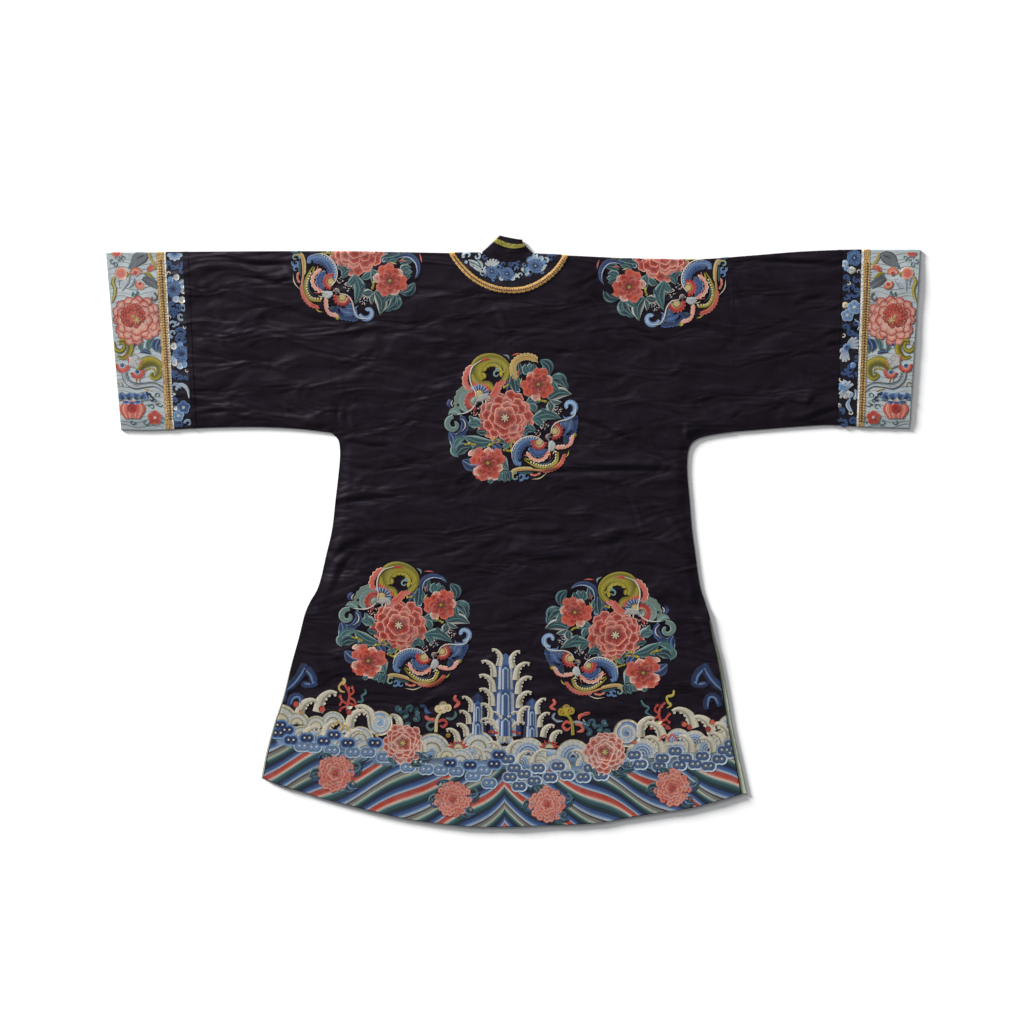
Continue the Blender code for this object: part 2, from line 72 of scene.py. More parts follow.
overhead = bpy.data.objects.new("soft_overhead", bpy.data.lights.new("soft_overhead", "AREA"))
bpy.context.collection.objects.link(overhead)
overhead.data.size = 2.2
overhead.data.energy = 76.0
overhead.location = (-2.2, 3.0, 3.2)
overhead.rotation_euler = Vector((-2.2, 3.0, 3.2)).to_track_quat("Z", "Y").to_euler()

sky = bpy.data.worlds.new("pale_room")
sky.use_nodes = True
sky.node_tree.nodes["Background"].inputs["Color"].default_value = (0.95, 0.97, 1.0, 1.0)
sky.node_tree.nodes["Background"].inputs["Strength"].default_value = 0.2
bpy.context.scene.world = sky
bpy.context.scene.view_settings.view_transform = "Standard"

# Body lengths
# Two lengths of black satin, each over one shoulder from the back hem to the front hem,
# sewn along the centre back, and to each other down the sides as far as the slits.
CLOTH = 1.4
SEAM_GAP = 0.3
FOLD_R = 1.25
QUARTER = 0.5 * math.pi * FOLD_R
SILK = 1.0

TOP_EDGE = (
    (-732.6, 502.2), (-563.4, 503.1), (-383.4, 504.0), (-203.4, 502.2),
    (-109.8, 500.4), (-57.6, 500.4), (37.8, 498.6), (102.6, 495.9),
    (228.6, 490.5), (336.6, 489.6), (426.6, 495.9), (516.6, 503.1),
    (606.6, 506.7), (732.6, 507.6),
)
HEM_EDGE = (
    (-450.0, -444.6), (-419.4, -457.2), (-383.4, -468.0), (-338.4, -482.4),
    (-293.4, -494.1), (-239.4, -507.6), (-185.4, -519.3), (-131.4, -526.5),
    (-77.4, -531.9), (-9.0, -532.8), (48.6, -530.1), (111.6, -528.3),
    (156.6, -524.7), (210.6, -515.7), (264.6, -506.7), (318.6, -498.6),
    (363.6, -486.9), (411.3, -473.4),
)
SLEEVE_LOW = {
    "left": (
        (-705.6, 181.8), (-653.4, 180.9), (-563.4, 185.4), (-455.4, 187.2),
        (-383.4, 183.6), (-327.6, 177.1),
    ),
    "right": (
        (396.0, 178.6), (453.6, 183.2), (516.6, 188.1), (570.6, 190.8),
        (642.6, 186.3), (712.8, 184.5),
    ),
}
# Rows of a length, hem to shoulder: centre seam x, y, side edge x, y
BODY_ROWS = {
    "left": (
        (-9.0, -532.8, -450.0, -444.6), (-9.0, -480.0, -441.0, -397.8),
        (-8.4, -425.0, -426.6, -343.8), (-8.4, -372.0, -412.2, -300.6),
        (-9.0, -310.0, -399.6, -246.6), (-9.0, -245.0, -385.2, -192.6),
        (-9.0, -190.0, -374.4, -149.4), (-9.0, -155.0, -365.4, -127.8),
        (-9.0, -120.0, -352.8, -106.2), (-9.0, -88.0, -345.6, -84.6),
        (-9.0, -45.0, -336.6, -45.0), (-8.1, 5.0, -325.8, 1.8),
        (-7.2, 55.0, -319.5, 55.8), (-6.3, 105.0, -314.1, 102.6),
        (-5.4, 148.0, -311.4, 135.0), (-5.4, 180.0, -312.1, 153.0),
        (-5.4, 205.0, -314.5, 163.8), (-5.0, 228.0, -319.9, 171.0),
        (-4.5, 252.0, -327.6, 177.1), (-4.0, 290.0, -327.6, 218.0),
        (-3.0, 330.0, -327.6, 262.0), (-2.0, 370.0, -327.6, 308.0),
        (-1.5, 410.0, -327.6, 356.0), (-1.0, 450.0, -327.6, 406.0),
    ),
    "right": (
        (-9.0, -532.8, 411.3, -473.4), (-9.0, -480.0, 401.4, -419.4),
        (-8.4, -425.0, 387.0, -347.4), (-8.4, -372.0, 379.8, -300.6),
        (-9.0, -310.0, 369.0, -235.8), (-9.0, -245.0, 359.1, -192.6),
        (-9.0, -190.0, 351.0, -149.4), (-9.0, -155.0, 345.6, -127.8),
        (-9.0, -120.0, 338.4, -106.2), (-9.0, -88.0, 333.9, -84.6),
        (-9.0, -45.0, 328.5, -45.0), (-8.1, 5.0, 322.2, 1.8),
        (-7.2, 55.0, 317.7, 55.8), (-6.3, 105.0, 313.7, 102.6),
        (-5.4, 148.0, 314.1, 135.0), (-5.4, 175.0, 317.7, 151.2),
        (-5.4, 198.0, 324.9, 161.1), (-5.0, 218.0, 336.6, 167.8),
        (-4.8, 238.0, 358.2, 173.2), (-4.5, 260.0, 396.0, 178.6),
        (-3.5, 305.0, 396.0, 226.0), (-2.5, 352.0, 396.0, 280.0),
        (-1.5, 402.0, 396.0, 338.0), (-1.0, 450.0, 396.0, 396.0),
    ),
}
SEWN_ROW = 7
ARM_ROW = {"left": 18, "right": 19}
# Rows round the neck: neck x, s, collar trim edge x, s, arm s
NECK_ROWS = {
    "left": (
        (-3.6, -30.4, -3.6, -90.0, -66.0), (-15.0, -29.6, -28.0, -87.5, -55.0),
        (-27.5, -27.0, -54.0, -80.0, -44.0), (-39.0, -22.2, -76.0, -64.5, -33.0),
        (-48.5, -15.4, -94.0, -43.0, -22.0), (-55.0, -7.8, -105.5, -20.0, -11.0),
        (-57.4, -1.964, -109.5, -1.964, -1.964),
        (-57.6, -0.982, -109.8, -0.982, -0.982),
        (-57.6, 0.0, -109.8, 0.0, 0.0),
        (-57.2, 0.982, -109.8, 0.982, 0.982),
        (-56.4, 1.964, -109.4, 1.964, 1.964),
        (-51.0, 4.5, -104.0, 10.5, 10.0), (-43.5, 7.2, -92.5, 25.0, 20.0),
        (-34.0, 10.0, -76.0, 41.5, 31.0), (-23.5, 12.8, -55.5, 54.8, 43.0),
        (-12.0, 15.0, -31.0, 63.8, 56.0), (-1.0, 15.8, -6.0, 66.4, 70.0),
    ),
    "right": (
        (-2.4, -30.4, -2.4, -90.0, -66.0), (9.0, -29.6, 23.0, -87.5, -55.0),
        (19.0, -27.0, 46.0, -80.0, -44.0), (27.0, -22.2, 66.0, -64.5, -33.0),
        (33.0, -15.4, 81.0, -43.0, -22.0), (36.8, -7.8, 90.0, -20.0, -11.0),
        (37.8, -1.964, 93.2, -1.964, -1.964),
        (37.8, -0.982, 93.5, -0.982, -0.982),
        (37.8, 0.0, 93.5, 0.0, 0.0),
        (37.6, 0.982, 93.5, 0.982, 0.982),
        (37.2, 1.964, 93.2, 1.964, 1.964),
        (34.0, 4.2, 87.5, 13.0, 10.0), (29.0, 7.2, 77.5, 27.0, 20.0),
        (23.0, 9.8, 63.0, 40.8, 31.0), (16.0, 12.4, 44.5, 53.8, 43.0),
        (8.0, 14.8, 20.5, 63.6, 56.0), (-1.0, 15.8, -6.0, 66.4, 70.0),
    ),
}
FRONT_SHOWS = {
    "left": ((-460.0, 3.0), (-300.0, 2.0), (-200.0, 0.6), (-127.8, 0.0)),
    "right": ((-480.0, 10.0), (-400.0, 7.5), (-235.0, 5.6), (-160.0, 2.4), (-127.8, 0.0)),
}
# Broad soft folds: from x, y to x, y, half width, height
FOLDS = (
    (60.0, 102.0, 318.0, 92.0, 26.0, 0.9), (120.0, 440.0, 300.0, 310.0, 34.0, 0.9),
    (190.0, 330.0, 325.0, 195.0, 32.0, 0.8), (-305.0, 72.0, -130.0, 22.0, 34.0, 0.8),
    (-335.0, -60.0, -255.0, -150.0, 34.0, 0.9), (25.0, -55.0, 185.0, -105.0, 32.0, 0.9),
    (235.0, -30.0, 325.0, -110.0, 32.0, 0.9), (-140.0, -15.0, -10.0, -65.0, 30.0, 0.7),
    (-170.0, 330.0, 60.0, 372.0, 34.0, 0.6), (-560.0, 300.0, -360.0, 335.0, 44.0, 0.6),
    (470.0, 330.0, 585.0, 400.0, 40.0, 0.7), (-480.0, 455.0, -330.0, 430.0, 30.0, 0.6),
    (-380.0, -395.0, -240.0, -360.0, 34.0, 0.6), (90.0, -330.0, 330.0, -370.0, 36.0, 0.6),
)
# Small wrinkles, each a crest with a hollow below it: from x, y to x, y, half width, height
WRINKLES = (
    (-491, 490, -405, 482, 7, 1.5), (-482, 473, -441, 452, 7, 1.3), (-441, 452, -401, 454, 6, 1.2),
    (-567, 455, -542, 434, 10, 1), (-576, 358, -558, 355, 6, 0.8), (-576, 277, -558, 274, 6, 0.8),
    (-409, 473, -365, 410, 6, 1), (-315, 265, -301, 250, 6, 1), (-292, 243, -277, 232, 6, 0.9),
    (-311, 221, -310, 193, 5, 0.9), (-295, 214, -288, 182, 5, 0.7), (-563, 216, -481, 221, 6, 1.3),
    (-513, 212, -481, 205, 5, 1), (-418, 225, -400, 218, 7, 1), (-383, 193, -338, 191, 5, 0.8),
    (-538, 356, -513, 322, 5, 0.7), (-293, 162, -221, 158, 6, 1.1), (-227, 153, -175, 121, 6, 0.9),
    (-304, 124, -254, 121, 10, 1), (-189, 95, -153, 103, 7, 0.8), (-308, 23, -250, 18, 6, 0.8),
    (-344, -52, -254, 2, 12, 1.4), (-329, -97, -290, -31, 9, 1), (-149, 356, -117, 351, 6, 0.9),
    (-104, 353, -77, 351, 6, 0.9), (-139, 290, -110, 272, 6, 0.7), (-34, 394, -9, 362, 7, 1.2),
    (-203, 416, -167, 434, 5, 0.6), (106, 446, 178, 416, 6, 1.3), (112, 430, 157, 423, 5, 1),
    (157, 423, 250, 344, 8, 1.9), (243, 369, 301, 319, 7, 1.6), (189, 335, 247, 293, 6, 1.2),
    (256, 281, 311, 236, 6, 1.2), (247, 248, 311, 205, 6, 1.3), (308, 193, 315, 160, 6, 1),
    (36, 329, 106, 326, 4, 1), (49, 356, 124, 383, 5, 0.7), (112, 265, 146, 263, 6, 0.8),
    (126, 308, 178, 286, 5, 0.7), (139, 335, 193, 326, 5, 0.7), (115, 205, 214, 171, 8, 1.6),
    (124, 153, 180, 130, 6, 1.1), (229, 149, 286, 131, 7, 1.3), (63, 115, 308, 113, 7, 2),
    (121, 94, 196, 86, 6, 1), (200, 85, 236, -4, 5, 0.6), (256, 47, 304, -7, 7, 1.2),
    (157, -16, 232, 2, 9, 1.3), (-2, 2, 106, -2, 6, 1.2), (-2, -40, 130, -45, 9, 1.5),
    (153, -18, 257, -9, 8, 1.1), (256, -16, 324, -56, 7, 1.1), (13, -97, 52, -94, 5, 0.9),
    (9, -124, 49, -131, 5, 0.8), (5, -70, 41, -68, 5, 0.8), (-157, -45, -77, -18, 7, 1),
    (-77, -31, -23, -13, 6, 0.9), (-131, -79, -59, -52, 6, 0.8), (-275, 56, -194, 74, 9, 0.9),
    (117, -326, 221, -329, 10, 1.1), (13, -304, 85, -286, 10, 0.9),
    (-167, -286, -104, -261, 11, 0.9), (-230, -326, -104, -304, 10, 0.8),
    (-337, -218, -293, -239, 8, 0.9), (-383, -196, -351, -247, 8, 0.9),
    (319, -124, 358, -214, 9, 0.8), (265, -97, 337, -142, 8, 0.9), (31, -160, 85, -175, 8, 0.8),
    (31, -205, 58, -214, 7, 0.7), (400, 491, 585, 484, 6, 1.6), (380, 445, 405, 412, 6, 1.2),
    (508, 410, 560, 430, 7, 0.9), (556, 353, 592, 365, 5, 1.2), (560, 333, 589, 342, 5, 1),
    (527, 232, 545, 243, 7, 1.1), (509, 203, 585, 223, 6, 1.4), (380, 203, 412, 218, 6, 0.9),
    (571, 281, 589, 277, 5, 0.8),
)


def eased(t):
    t = np.clip(t, 0.0, 1.0)
    return t * t * (3.0 - 2.0 * t)


def smooth_through(points, x):
    """Smooth curve through (x, y) points."""
    rows = np.array(sorted((float(p[0]), float(p[1])) for p in points))
    px, py = rows[:, 0], rows[:, 1]
    step = np.diff(py) / np.diff(px)
    slope = np.concatenate((step[:1], 0.5 * (step[1:] + step[:-1]), step[-1:]))
    x = np.clip(np.asarray(x, dtype=float), px[0], px[-1])
    k = np.clip(np.searchsorted(px, x, side="right") - 1, 0, len(px) - 2)
    h = px[k + 1] - px[k]
    t = (x - px[k]) / h
    return (
        (2 * t ** 3 - 3 * t ** 2 + 1) * py[k] + (t ** 3 - 2 * t ** 2 + t) * h * slope[k]
        + (3 * t ** 2 - 2 * t ** 3) * py[k + 1] + (t ** 3 - t ** 2) * h * slope[k + 1]
    )


def from_segment(x, y, x0, y0, x1, y1):
    """Signed distance from a segment's line, distance past its ends, share along it."""
    dx, dy = x1 - x0, y1 - y0
    size = math.hypot(dx, dy)
    t = ((x - x0) * dx + (y - y0) * dy) / size ** 2
    off = ((y - y0) * dx - (x - x0) * dy) / size
    past = np.maximum(0.0, np.maximum(-t, t - 1.0)) * size
    return off, past, t


def sewn_edge(side):
    points = [row[2:] for row in BODY_ROWS[side][SEWN_ROW:ARM_ROW[side] + 1]]
    sleeve = sorted(SLEEVE_LOW[side], key=lambda row: abs(row[0]))
    return points + [tuple(row) for row in sleeve[1:]]


SEWN = {side: sewn_edge(side) for side in ("left", "right")}


def front_mid(x, y):
    away = np.hypot((x + 8.0) / 128.0, (y - 488.0) / 108.0)
    return 0.5 * CLOTH + (SEAM_GAP + 1.0) * (1.0 - eased((away - 1.0) / 0.6))


def sewn_share(x, y):
    near = np.full(np.shape(x), 1e6)
    for side in ("left", "right"):
        line = SEWN[side]
        for a, b in zip(line, line[1:]):
            off, past, t = from_segment(x, y, *a, *b)
            near = np.minimum(near, np.hypot(off, past))
    return eased(near / 22.0)


def wrinkle_lift(x, y):
    lift = np.zeros(np.shape(x))
    for x0, y0, x1, y1, width, height in WRINKLES:
        if x1 < x0:
            x0, y0, x1, y1 = x1, y1, x0, y0
        off, past, t = from_segment(x, y, x0, y0, x1, y1)
        sway = 0.35 * width * np.sin(5.0 * t + 0.01 * (x0 + y0))
        off = off + sway
        taper = np.exp(-(past / (1.2 * width)) ** 2) * (
            0.45 + 0.55 * eased(2.5 * t) * eased(2.5 * (1.0 - t)))
        crest = np.exp(-(((off - 0.5 * width) / width) ** 2))
        hollow = np.exp(-(((off + 0.8 * width) / (0.55 * width)) ** 2))
        lift = lift + 1.25 * height * taper * (0.9 * crest - 0.95 * hollow)
    for k, (wx, wy, phase, high) in enumerate((
        (0.051, 0.023, 0.4, 0.16), (0.019, -0.047, 2.1, 0.18), (-0.033, 0.061, 4.0, 0.12),
        (0.083, 0.049, 1.2, 0.08), (-0.071, 0.101, 5.2, 0.07), (0.112, -0.067, 3.1, 0.05),
    )):
        lift = lift + high * np.sin(wx * x + wy * y + phase + 0.8 * np.sin(0.5 * wy * x - wx * y + k))
    return np.maximum(lift, -1.9)


def back_mid(x, y):
    top = smooth_through(TOP_EDGE, x)
    drop = top - y
    lift = 0.9 * eased(drop / 45.0)
    for x0, y0, x1, y1, width, height in FOLDS:
        off, past, t = from_segment(x, y, x0, y0, x1, y1)
        lift = lift + height * np.exp(-(off ** 2 + past ** 2) / width ** 2) * eased(drop / 40.0)
    lift = lift + wrinkle_lift(x, y) * eased(drop / 14.0)
    share = sewn_share(x, y)
    return front_mid(x, y) + CLOTH + SEAM_GAP + share * (2.0 * FOLD_R - CLOTH - SEAM_GAP + lift)


def fold_line(x):
    return smooth_through(TOP_EDGE, x) - 0.5 * CLOTH - FOLD_R


def place(x, s, lift):
    """Cloth point s along from the shoulder fold, moved out from the cloth by lift."""
    x, s, lift = np.broadcast_arrays(np.asarray(x, float), np.asarray(s, float), lift)
    centre = fold_line(x)
    angle = np.clip(s, -QUARTER, QUARTER) / FOLD_R
    over = np.maximum(np.abs(s) - QUARTER, 0.0)
    y = centre + (FOLD_R + lift) * np.cos(angle) - over
    z_turn = front_mid(x, centre) + FOLD_R + (FOLD_R + lift) * np.sin(angle)
    z_back = back_mid(x, np.minimum(y, centre)) + lift
    z_front = front_mid(x, y) - lift
    z = np.where(np.abs(s) <= QUARTER, z_turn, np.where(s > 0.0, z_back, z_front))
    return np.stack((x, y, z), axis=-1)


def length_at(x, y):
    return fold_line(x) - y + QUARTER


def refined(rows):
    """Neck rows with the midpoints that the sewn trims follow."""
    result = []
    for k, row in enumerate(rows):
        result.append(row)
        if k + 1 == len(rows) or abs(row[1]) < QUARTER or abs(rows[k + 1][1]) < QUARTER:
            continue
        first = k == 0 or abs(rows[k - 1][1]) < QUARTER
        last = k + 2 == len(rows) or abs(rows[k + 2][1]) < QUARTER
        middle = []
        for c in range(len(row)):
            p, q = row[c], rows[k + 1][c]
            if not first and not last:
                middle.append((9.0 * (p + q) - rows[k - 1][c] - rows[k + 2][c]) / 16.0)
            elif not first:
                middle.append((6.0 * p + 3.0 * q - rows[k - 1][c]) / 8.0)
            else:
                middle.append((3.0 * p + 6.0 * q - rows[k + 2][c]) / 8.0)
        result.append(tuple(middle))
    return result


NECK = {side: refined(rows) for side, rows in NECK_ROWS.items()}


def dense_rows(rows, pitch):
    """Rows filled in smoothly so that no two are further apart than the pitch."""
    rows = np.array(rows, dtype=float)
    gaps = np.maximum(np.hypot(*np.diff(rows[:, 0:2], axis=0).T),
                      np.hypot(*np.diff(rows[:, 2:4], axis=0).T))
    along = np.concatenate(([0.0], np.cumsum(gaps)))
    wanted = []
    for k, gap in enumerate(gaps):
        count = max(1, int(math.ceil(gap / pitch)))
        wanted += [along[k] + gap * i / count for i in range(count)]
    wanted.append(along[-1])
    columns = [smooth_through(np.stack((along, rows[:, c]), axis=1), wanted) for c in range(rows.shape[1])]
    return np.stack(columns, axis=1)


def body_rows(side, pitch_back, pitch_front):
    """Rows of a length from the front hem to the back hem: x, s, x, s, share of hem bow."""
    turn = -1.0 if side == "left" else 1.0
    back, front = [], []
    for k, (seam_x, seam_y, side_x, side_y) in enumerate(BODY_ROWS[side]):
        gap = 0.5 * SEAM_GAP * turn
        arm_gap = gap if side_y > 176.0 else 0.0
        bow = max(0.0, 1.0 - k / 7.0)
        x0, x1 = seam_x + gap, side_x - arm_gap
        back.append((x0, float(length_at(x0, seam_y)), x1, float(length_at(x1, side_y)), bow))
        shown = float(smooth_through(FRONT_SHOWS[side], side_y)) if side_y < -127.8 else 0.0
        x0, x1 = -3.0 + 0.6 * turn, side_x - arm_gap + shown * turn
        front.append((x0, -float(length_at(x0, seam_y)), x1, -float(length_at(x1, side_y)), -bow))
    neck = []
    for neck_x, neck_s, _, _, arm_s in NECK[side]:
        x0 = neck_x + 0.5 * SEAM_GAP * turn if abs(neck_x + 1.0) < 0.01 else neck_x
        neck.append((x0, neck_s, BODY_ROWS[side][-1][2] - 0.5 * SEAM_GAP * turn, arm_s, 0.0))
    arm = ARM_ROW[side]
    chains = [
        dense_rows(front[:arm + 1], pitch_front), dense_rows(front[arm:], pitch_front)[1:],
        dense_rows(neck, pitch_back), dense_rows(back[::-1][:len(back) - arm], pitch_back),
        dense_rows(back[::-1][len(back) - arm - 1:], pitch_back)[1:],
    ]
    return np.concatenate(chains)


def shell(name, points, material, thickness=SILK, ring=False):
    """Closed thin cloth whose outer side is a grid of points in millimetres."""
    rows, columns = points.shape[:2]
    bm = bmesh.new()
    made = bmesh.ops.create_grid(bm, x_segments=columns - 1, y_segments=rows - 1, size=0.5)["verts"]
    for vert in made:
        i = int(round((vert.co.y + 0.5) * (rows - 1)))
        j = int(round((vert.co.x + 0.5) * (columns - 1)))
        vert.co = Vector(points[i, j]) * 0.001
    if ring:
        bmesh.ops.remove_doubles(bm, verts=bm.verts, dist=1e-6)
    bm.normal_update()
    middle = sum(v.co.z for v in bm.verts) / len(bm.verts)
    outward = sum(f.normal.z * (f.calc_center_median().z - middle) * f.calc_area() for f in bm.faces)
    if outward < 0.0:
        bmesh.ops.reverse_faces(bm, faces=bm.faces)
    bmesh.ops.solidify(bm, geom=bm.faces[:], thickness=thickness * 0.001)
    mesh = bpy.data.meshes.new(name)
    bm.to_mesh(mesh)
    bm.free()
    mesh.polygons.foreach_set("use_smooth", [True] * len(mesh.polygons))
    mesh.set_sharp_from_angle(angle=math.radians(50))
    mesh.materials.append(material)
    obj = bpy.data.objects.new(name, mesh)
    bpy.context.collection.objects.link(obj)
    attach(obj, "root")
    return obj


def nodes_of(material):
    material.use_nodes = True
    tree = material.node_tree
    return tree, tree.nodes["Principled BSDF"]


def add_node(tree, kind, **values):
    node = tree.nodes.new(kind)
    for key, value in values.items():
        if hasattr(node, key):
            setattr(node, key, value)
        else:
            node.inputs[key.replace("_", " ")].default_value = value
    return node


def blend_colours(tree, share, first, second):
    """Mix of two colours, each a plain colour or a socket."""
    mix = add_node(tree, "ShaderNodeMix", data_type="RGBA")
    for socket, value in ((mix.inputs[6], first), (mix.inputs[7], second)):
        if isinstance(value, tuple):
            socket.default_value = (*value, 1.0)
        else:
            tree.links.new(value, socket)
    tree.links.new(share, mix.inputs[0])
    return mix.outputs[2]


def ramp(tree, value, points):
    node = add_node(tree, "ShaderNodeValToRGB")
    line = node.color_ramp
    line.elements[0].position, line.elements[1].position = points[0][0], points[-1][0]
    line.elements[0].color = (*[points[0][1]] * 3, 1.0)
    line.elements[1].color = (*[points[-1][1]] * 3, 1.0)
    for where, level in points[1:-1]:
        line.elements.new(where).color = (level, level, level, 1.0)
    tree.links.new(value, node.inputs[0])
    return node.outputs[0]


def stretched(tree, source, scale):
    """Coordinates scaled by three numbers."""
    mapping = add_node(tree, "ShaderNodeMapping")
    mapping.inputs["Scale"].default_value = scale
    tree.links.new(source, mapping.inputs["Vector"])
    return mapping.outputs[0]


def satin(name, colour, pale, rough=0.38, sheen=0.35, slub=1.0):
    """Silk satin: fine warp floats, slubs, a broad uneven sheen, and paler patches that are painted sheen.
    """
    look = bpy.data.materials.new(name)
    tree, shader = nodes_of(look)
    where = add_node(tree, "ShaderNodeTexCoord").outputs["Object"]
    broad = add_node(tree, "ShaderNodeTexNoise", Scale=9.0, Detail=3.0, Roughness=0.6)
    tree.links.new(where, broad.inputs["Vector"])
    sheen_spots = add_node(tree, "ShaderNodeTexNoise", Scale=55.0, Detail=4.0, Roughness=0.7)
    tree.links.new(where, sheen_spots.inputs["Vector"])
    warp = add_node(tree, "ShaderNodeTexNoise", Scale=1.0, Detail=2.0, Roughness=0.5)
    tree.links.new(stretched(tree, where, (900.0, 160.0, 900.0)), warp.inputs["Vector"])
    weft = add_node(tree, "ShaderNodeTexNoise", Scale=1.0, Detail=2.0, Roughness=0.5)
    tree.links.new(stretched(tree, where, (60.0, 700.0, 60.0)), weft.inputs["Vector"])
    # Paler patches where the broad and the fine noise overlap: painted sheen in the satin's colour.
    fade_and_sheen = add_node(tree, "ShaderNodeMath", operation="MULTIPLY")
    tree.links.new(ramp(tree, broad.outputs["Fac"], ((0.35, 0.15), (0.7, 1.0))), fade_and_sheen.inputs[0])
    tree.links.new(ramp(tree, sheen_spots.outputs["Fac"], ((0.4, 0.0), (0.75, 1.0))), fade_and_sheen.inputs[1])
    base = blend_colours(tree, fade_and_sheen.outputs[0], colour, pale)
    threads = ramp(tree, warp.outputs["Fac"], ((0.3, 0.75), (0.7, 1.25)))
    shaded = add_node(tree, "ShaderNodeMix", data_type="RGBA", blend_type="MULTIPLY")
    shaded.inputs[0].default_value = 1.0
    tree.links.new(base, shaded.inputs[6])
    tree.links.new(threads, shaded.inputs[7])
    tree.links.new(shaded.outputs[2], shader.inputs["Base Color"])
    uneven = ramp(tree, broad.outputs["Fac"], ((0.3, rough + 0.08), (0.7, rough - 0.05)))
    tree.links.new(uneven, shader.inputs["Roughness"])
    shader.inputs["Sheen Weight"].default_value = sheen
    shader.inputs["Sheen Roughness"].default_value = 0.45
    shader.inputs["Specular IOR Level"].default_value = 0.27
    shader.inputs["Specular Tint"].default_value = (1.0, 0.84, 1.0, 1.0)
    rumple = add_node(tree, "ShaderNodeTexNoise", Scale=1.0, Detail=2.0, Roughness=0.55, Distortion=0.6)
    tree.links.new(stretched(tree, where, (9.0, 24.0, 9.0)), rumple.inputs["Vector"])
    soft = add_node(tree, "ShaderNodeBump", Strength=1.0, Distance=0.0078 * slub)
    tree.links.new(rumple.outputs["Fac"], soft.inputs["Height"])
    fine = add_node(tree, "ShaderNodeBump", Strength=0.25 * slub, Distance=0.0003)
    tree.links.new(warp.outputs["Fac"], fine.inputs["Height"])
    tree.links.new(soft.outputs[0], fine.inputs["Normal"])
    cross = add_node(tree, "ShaderNodeBump", Strength=0.3 * slub, Distance=0.0005)
    tree.links.new(weft.outputs["Fac"], cross.inputs["Height"])
    tree.links.new(fine.outputs[0], cross.inputs["Normal"])
    tree.links.new(cross.outputs[0], shader.inputs["Normal"])
    return look


# Dark aubergine satin; its second, paler colour is the painted sheen of its patches.
black_silk = satin("black_satin", (0.0040, 0.0023, 0.0050), (0.0104, 0.0067, 0.0120), 0.34, 0.03)


def body_points(side):
    rows = body_rows(side, 5.0, 16.0)
    columns = np.concatenate((np.linspace(0.0, 0.92, 78), np.linspace(0.92, 1.0, 9)[1:]))
    x = rows[:, 0:1] + (rows[:, 2:3] - rows[:, 0:1]) * columns
    s = rows[:, 1:2] + (rows[:, 3:4] - rows[:, 1:2]) * columns
    for sign, row in ((1.0, rows[-1]), (-1.0, rows[0])):
        x_hem = row[0] + (row[2] - row[0]) * columns
        s_hem = row[1] + (row[3] - row[1]) * columns
        bow = length_at(x_hem, smooth_through(HEM_EDGE, x_hem)) - sign * s_hem
        s = s + sign * bow * np.maximum(0.0, sign * rows[:, 4:5])
    return place(x, s, 0.5 * CLOTH)


def flat_area(points):
    """Area of a grid of points in square metres."""
    a = points[1:, 1:] - points[:-1, :-1]
    b = points[1:, :-1] - points[:-1, 1:]
    return float(np.linalg.norm(np.cross(a, b), axis=-1).sum()) * 0.5e-6


def declare_cloth(piece, points, width, held, trims=(), length=None):
    """Print a piece's cut of cloth; its length comes from its area unless it is given."""
    area = flat_area(points)
    width = math.ceil(width * 1e4) * 1e-4
    length = length or math.ceil(area / width * 1e3) * 1e-3
    print("cut of %s: %.3f x %.3f m, %.4f m2" % (piece.name, width, length, area))


body_cloth = {}
for side in ("left", "right"):
    points = body_points(side)
    body = shell("body_length_" + side, points, black_silk)
    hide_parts("body_" + side)
    body_cloth[side] = (body, points)

# Sleeves
# Each sleeve is one tube of black satin, folded flat along the shoulder line and closed
# under the arm. It is sewn to the body along the arm seam and to the cuff bands at its end.
CUFF_START = {"left": (-585.0, -570.6), "right": (585.0, 576.9)}


def tube_points(side, ends, pitch, around=3.2, lift=0.5 * CLOTH):
    """Grid round a flattened tube between two slanted ends, each x at the top and bottom."""
    (top0, low0), (top1, low1) = ends
    columns = np.linspace(0.0, 1.0, max(2, int(abs(top1 - top0) / pitch) + 1))
    top_x = top0 + (top1 - top0) * columns
    low_x = low0 + (low1 - low0) * columns
    down = np.linspace(0.0, 1.0, int(320.0 / around))[1:-1, None]
    up = np.linspace(1.0, 0.0, 26)[1:-1, None]
    bend = np.radians(np.linspace(-90.0, 90.0, 9))[:, None]

    def across(v):
        x = top_x * (1.0 - v) + low_x * v
        low = smooth_through(SLEEVE_LOW[side], x)
        low_r = 0.5 * (back_mid(x, low + 1.55) - front_mid(x, low))
        lower = low + 0.5 * CLOTH + low_r
        upper = fold_line(x)
        return x, upper + (lower - upper) * v, low, low_r

    under = 0.5 * CLOTH
    rolled = under + (lift - under) * (0.5 + 0.5 * np.sin(bend))
    top = place(top_x + 0.0 * bend, bend * FOLD_R, rolled + 0.0 * top_x)
    x, y, low, low_r = across(down)
    back = np.stack((x, y, back_mid(x, y) + lift), axis=-1)
    x, y, low, low_r = across(np.ones((9, 1)))
    rolled = rolled[::-1]
    y = y - (low_r + rolled) * np.cos(bend)
    turned = np.stack((x, y, front_mid(x, low) + low_r - (low_r + rolled) * np.sin(bend)), axis=-1)
    x, y, low, low_r = across(up)
    front = np.stack((x, y, front_mid(x, y) - under), axis=-1)
    return np.concatenate((top, back, turned, front, top[:1]))


for side, turn in (("left", -1.0), ("right", 1.0)):
    gap = 0.5 * SEAM_GAP * turn
    seam_x = BODY_ROWS[side][-1][2] + gap
    start = CUFF_START[side]
    points = tube_points(side, ((seam_x, seam_x), (start[0] - gap, start[1] - gap)), 4.2)
    sleeve = shell("sleeve_tube_" + side, points, black_silk, ring=True)
    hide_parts("sleeve_" + side)
    declare_cloth(sleeve, points, abs(start[0] - seam_x) * 0.001, "laid")

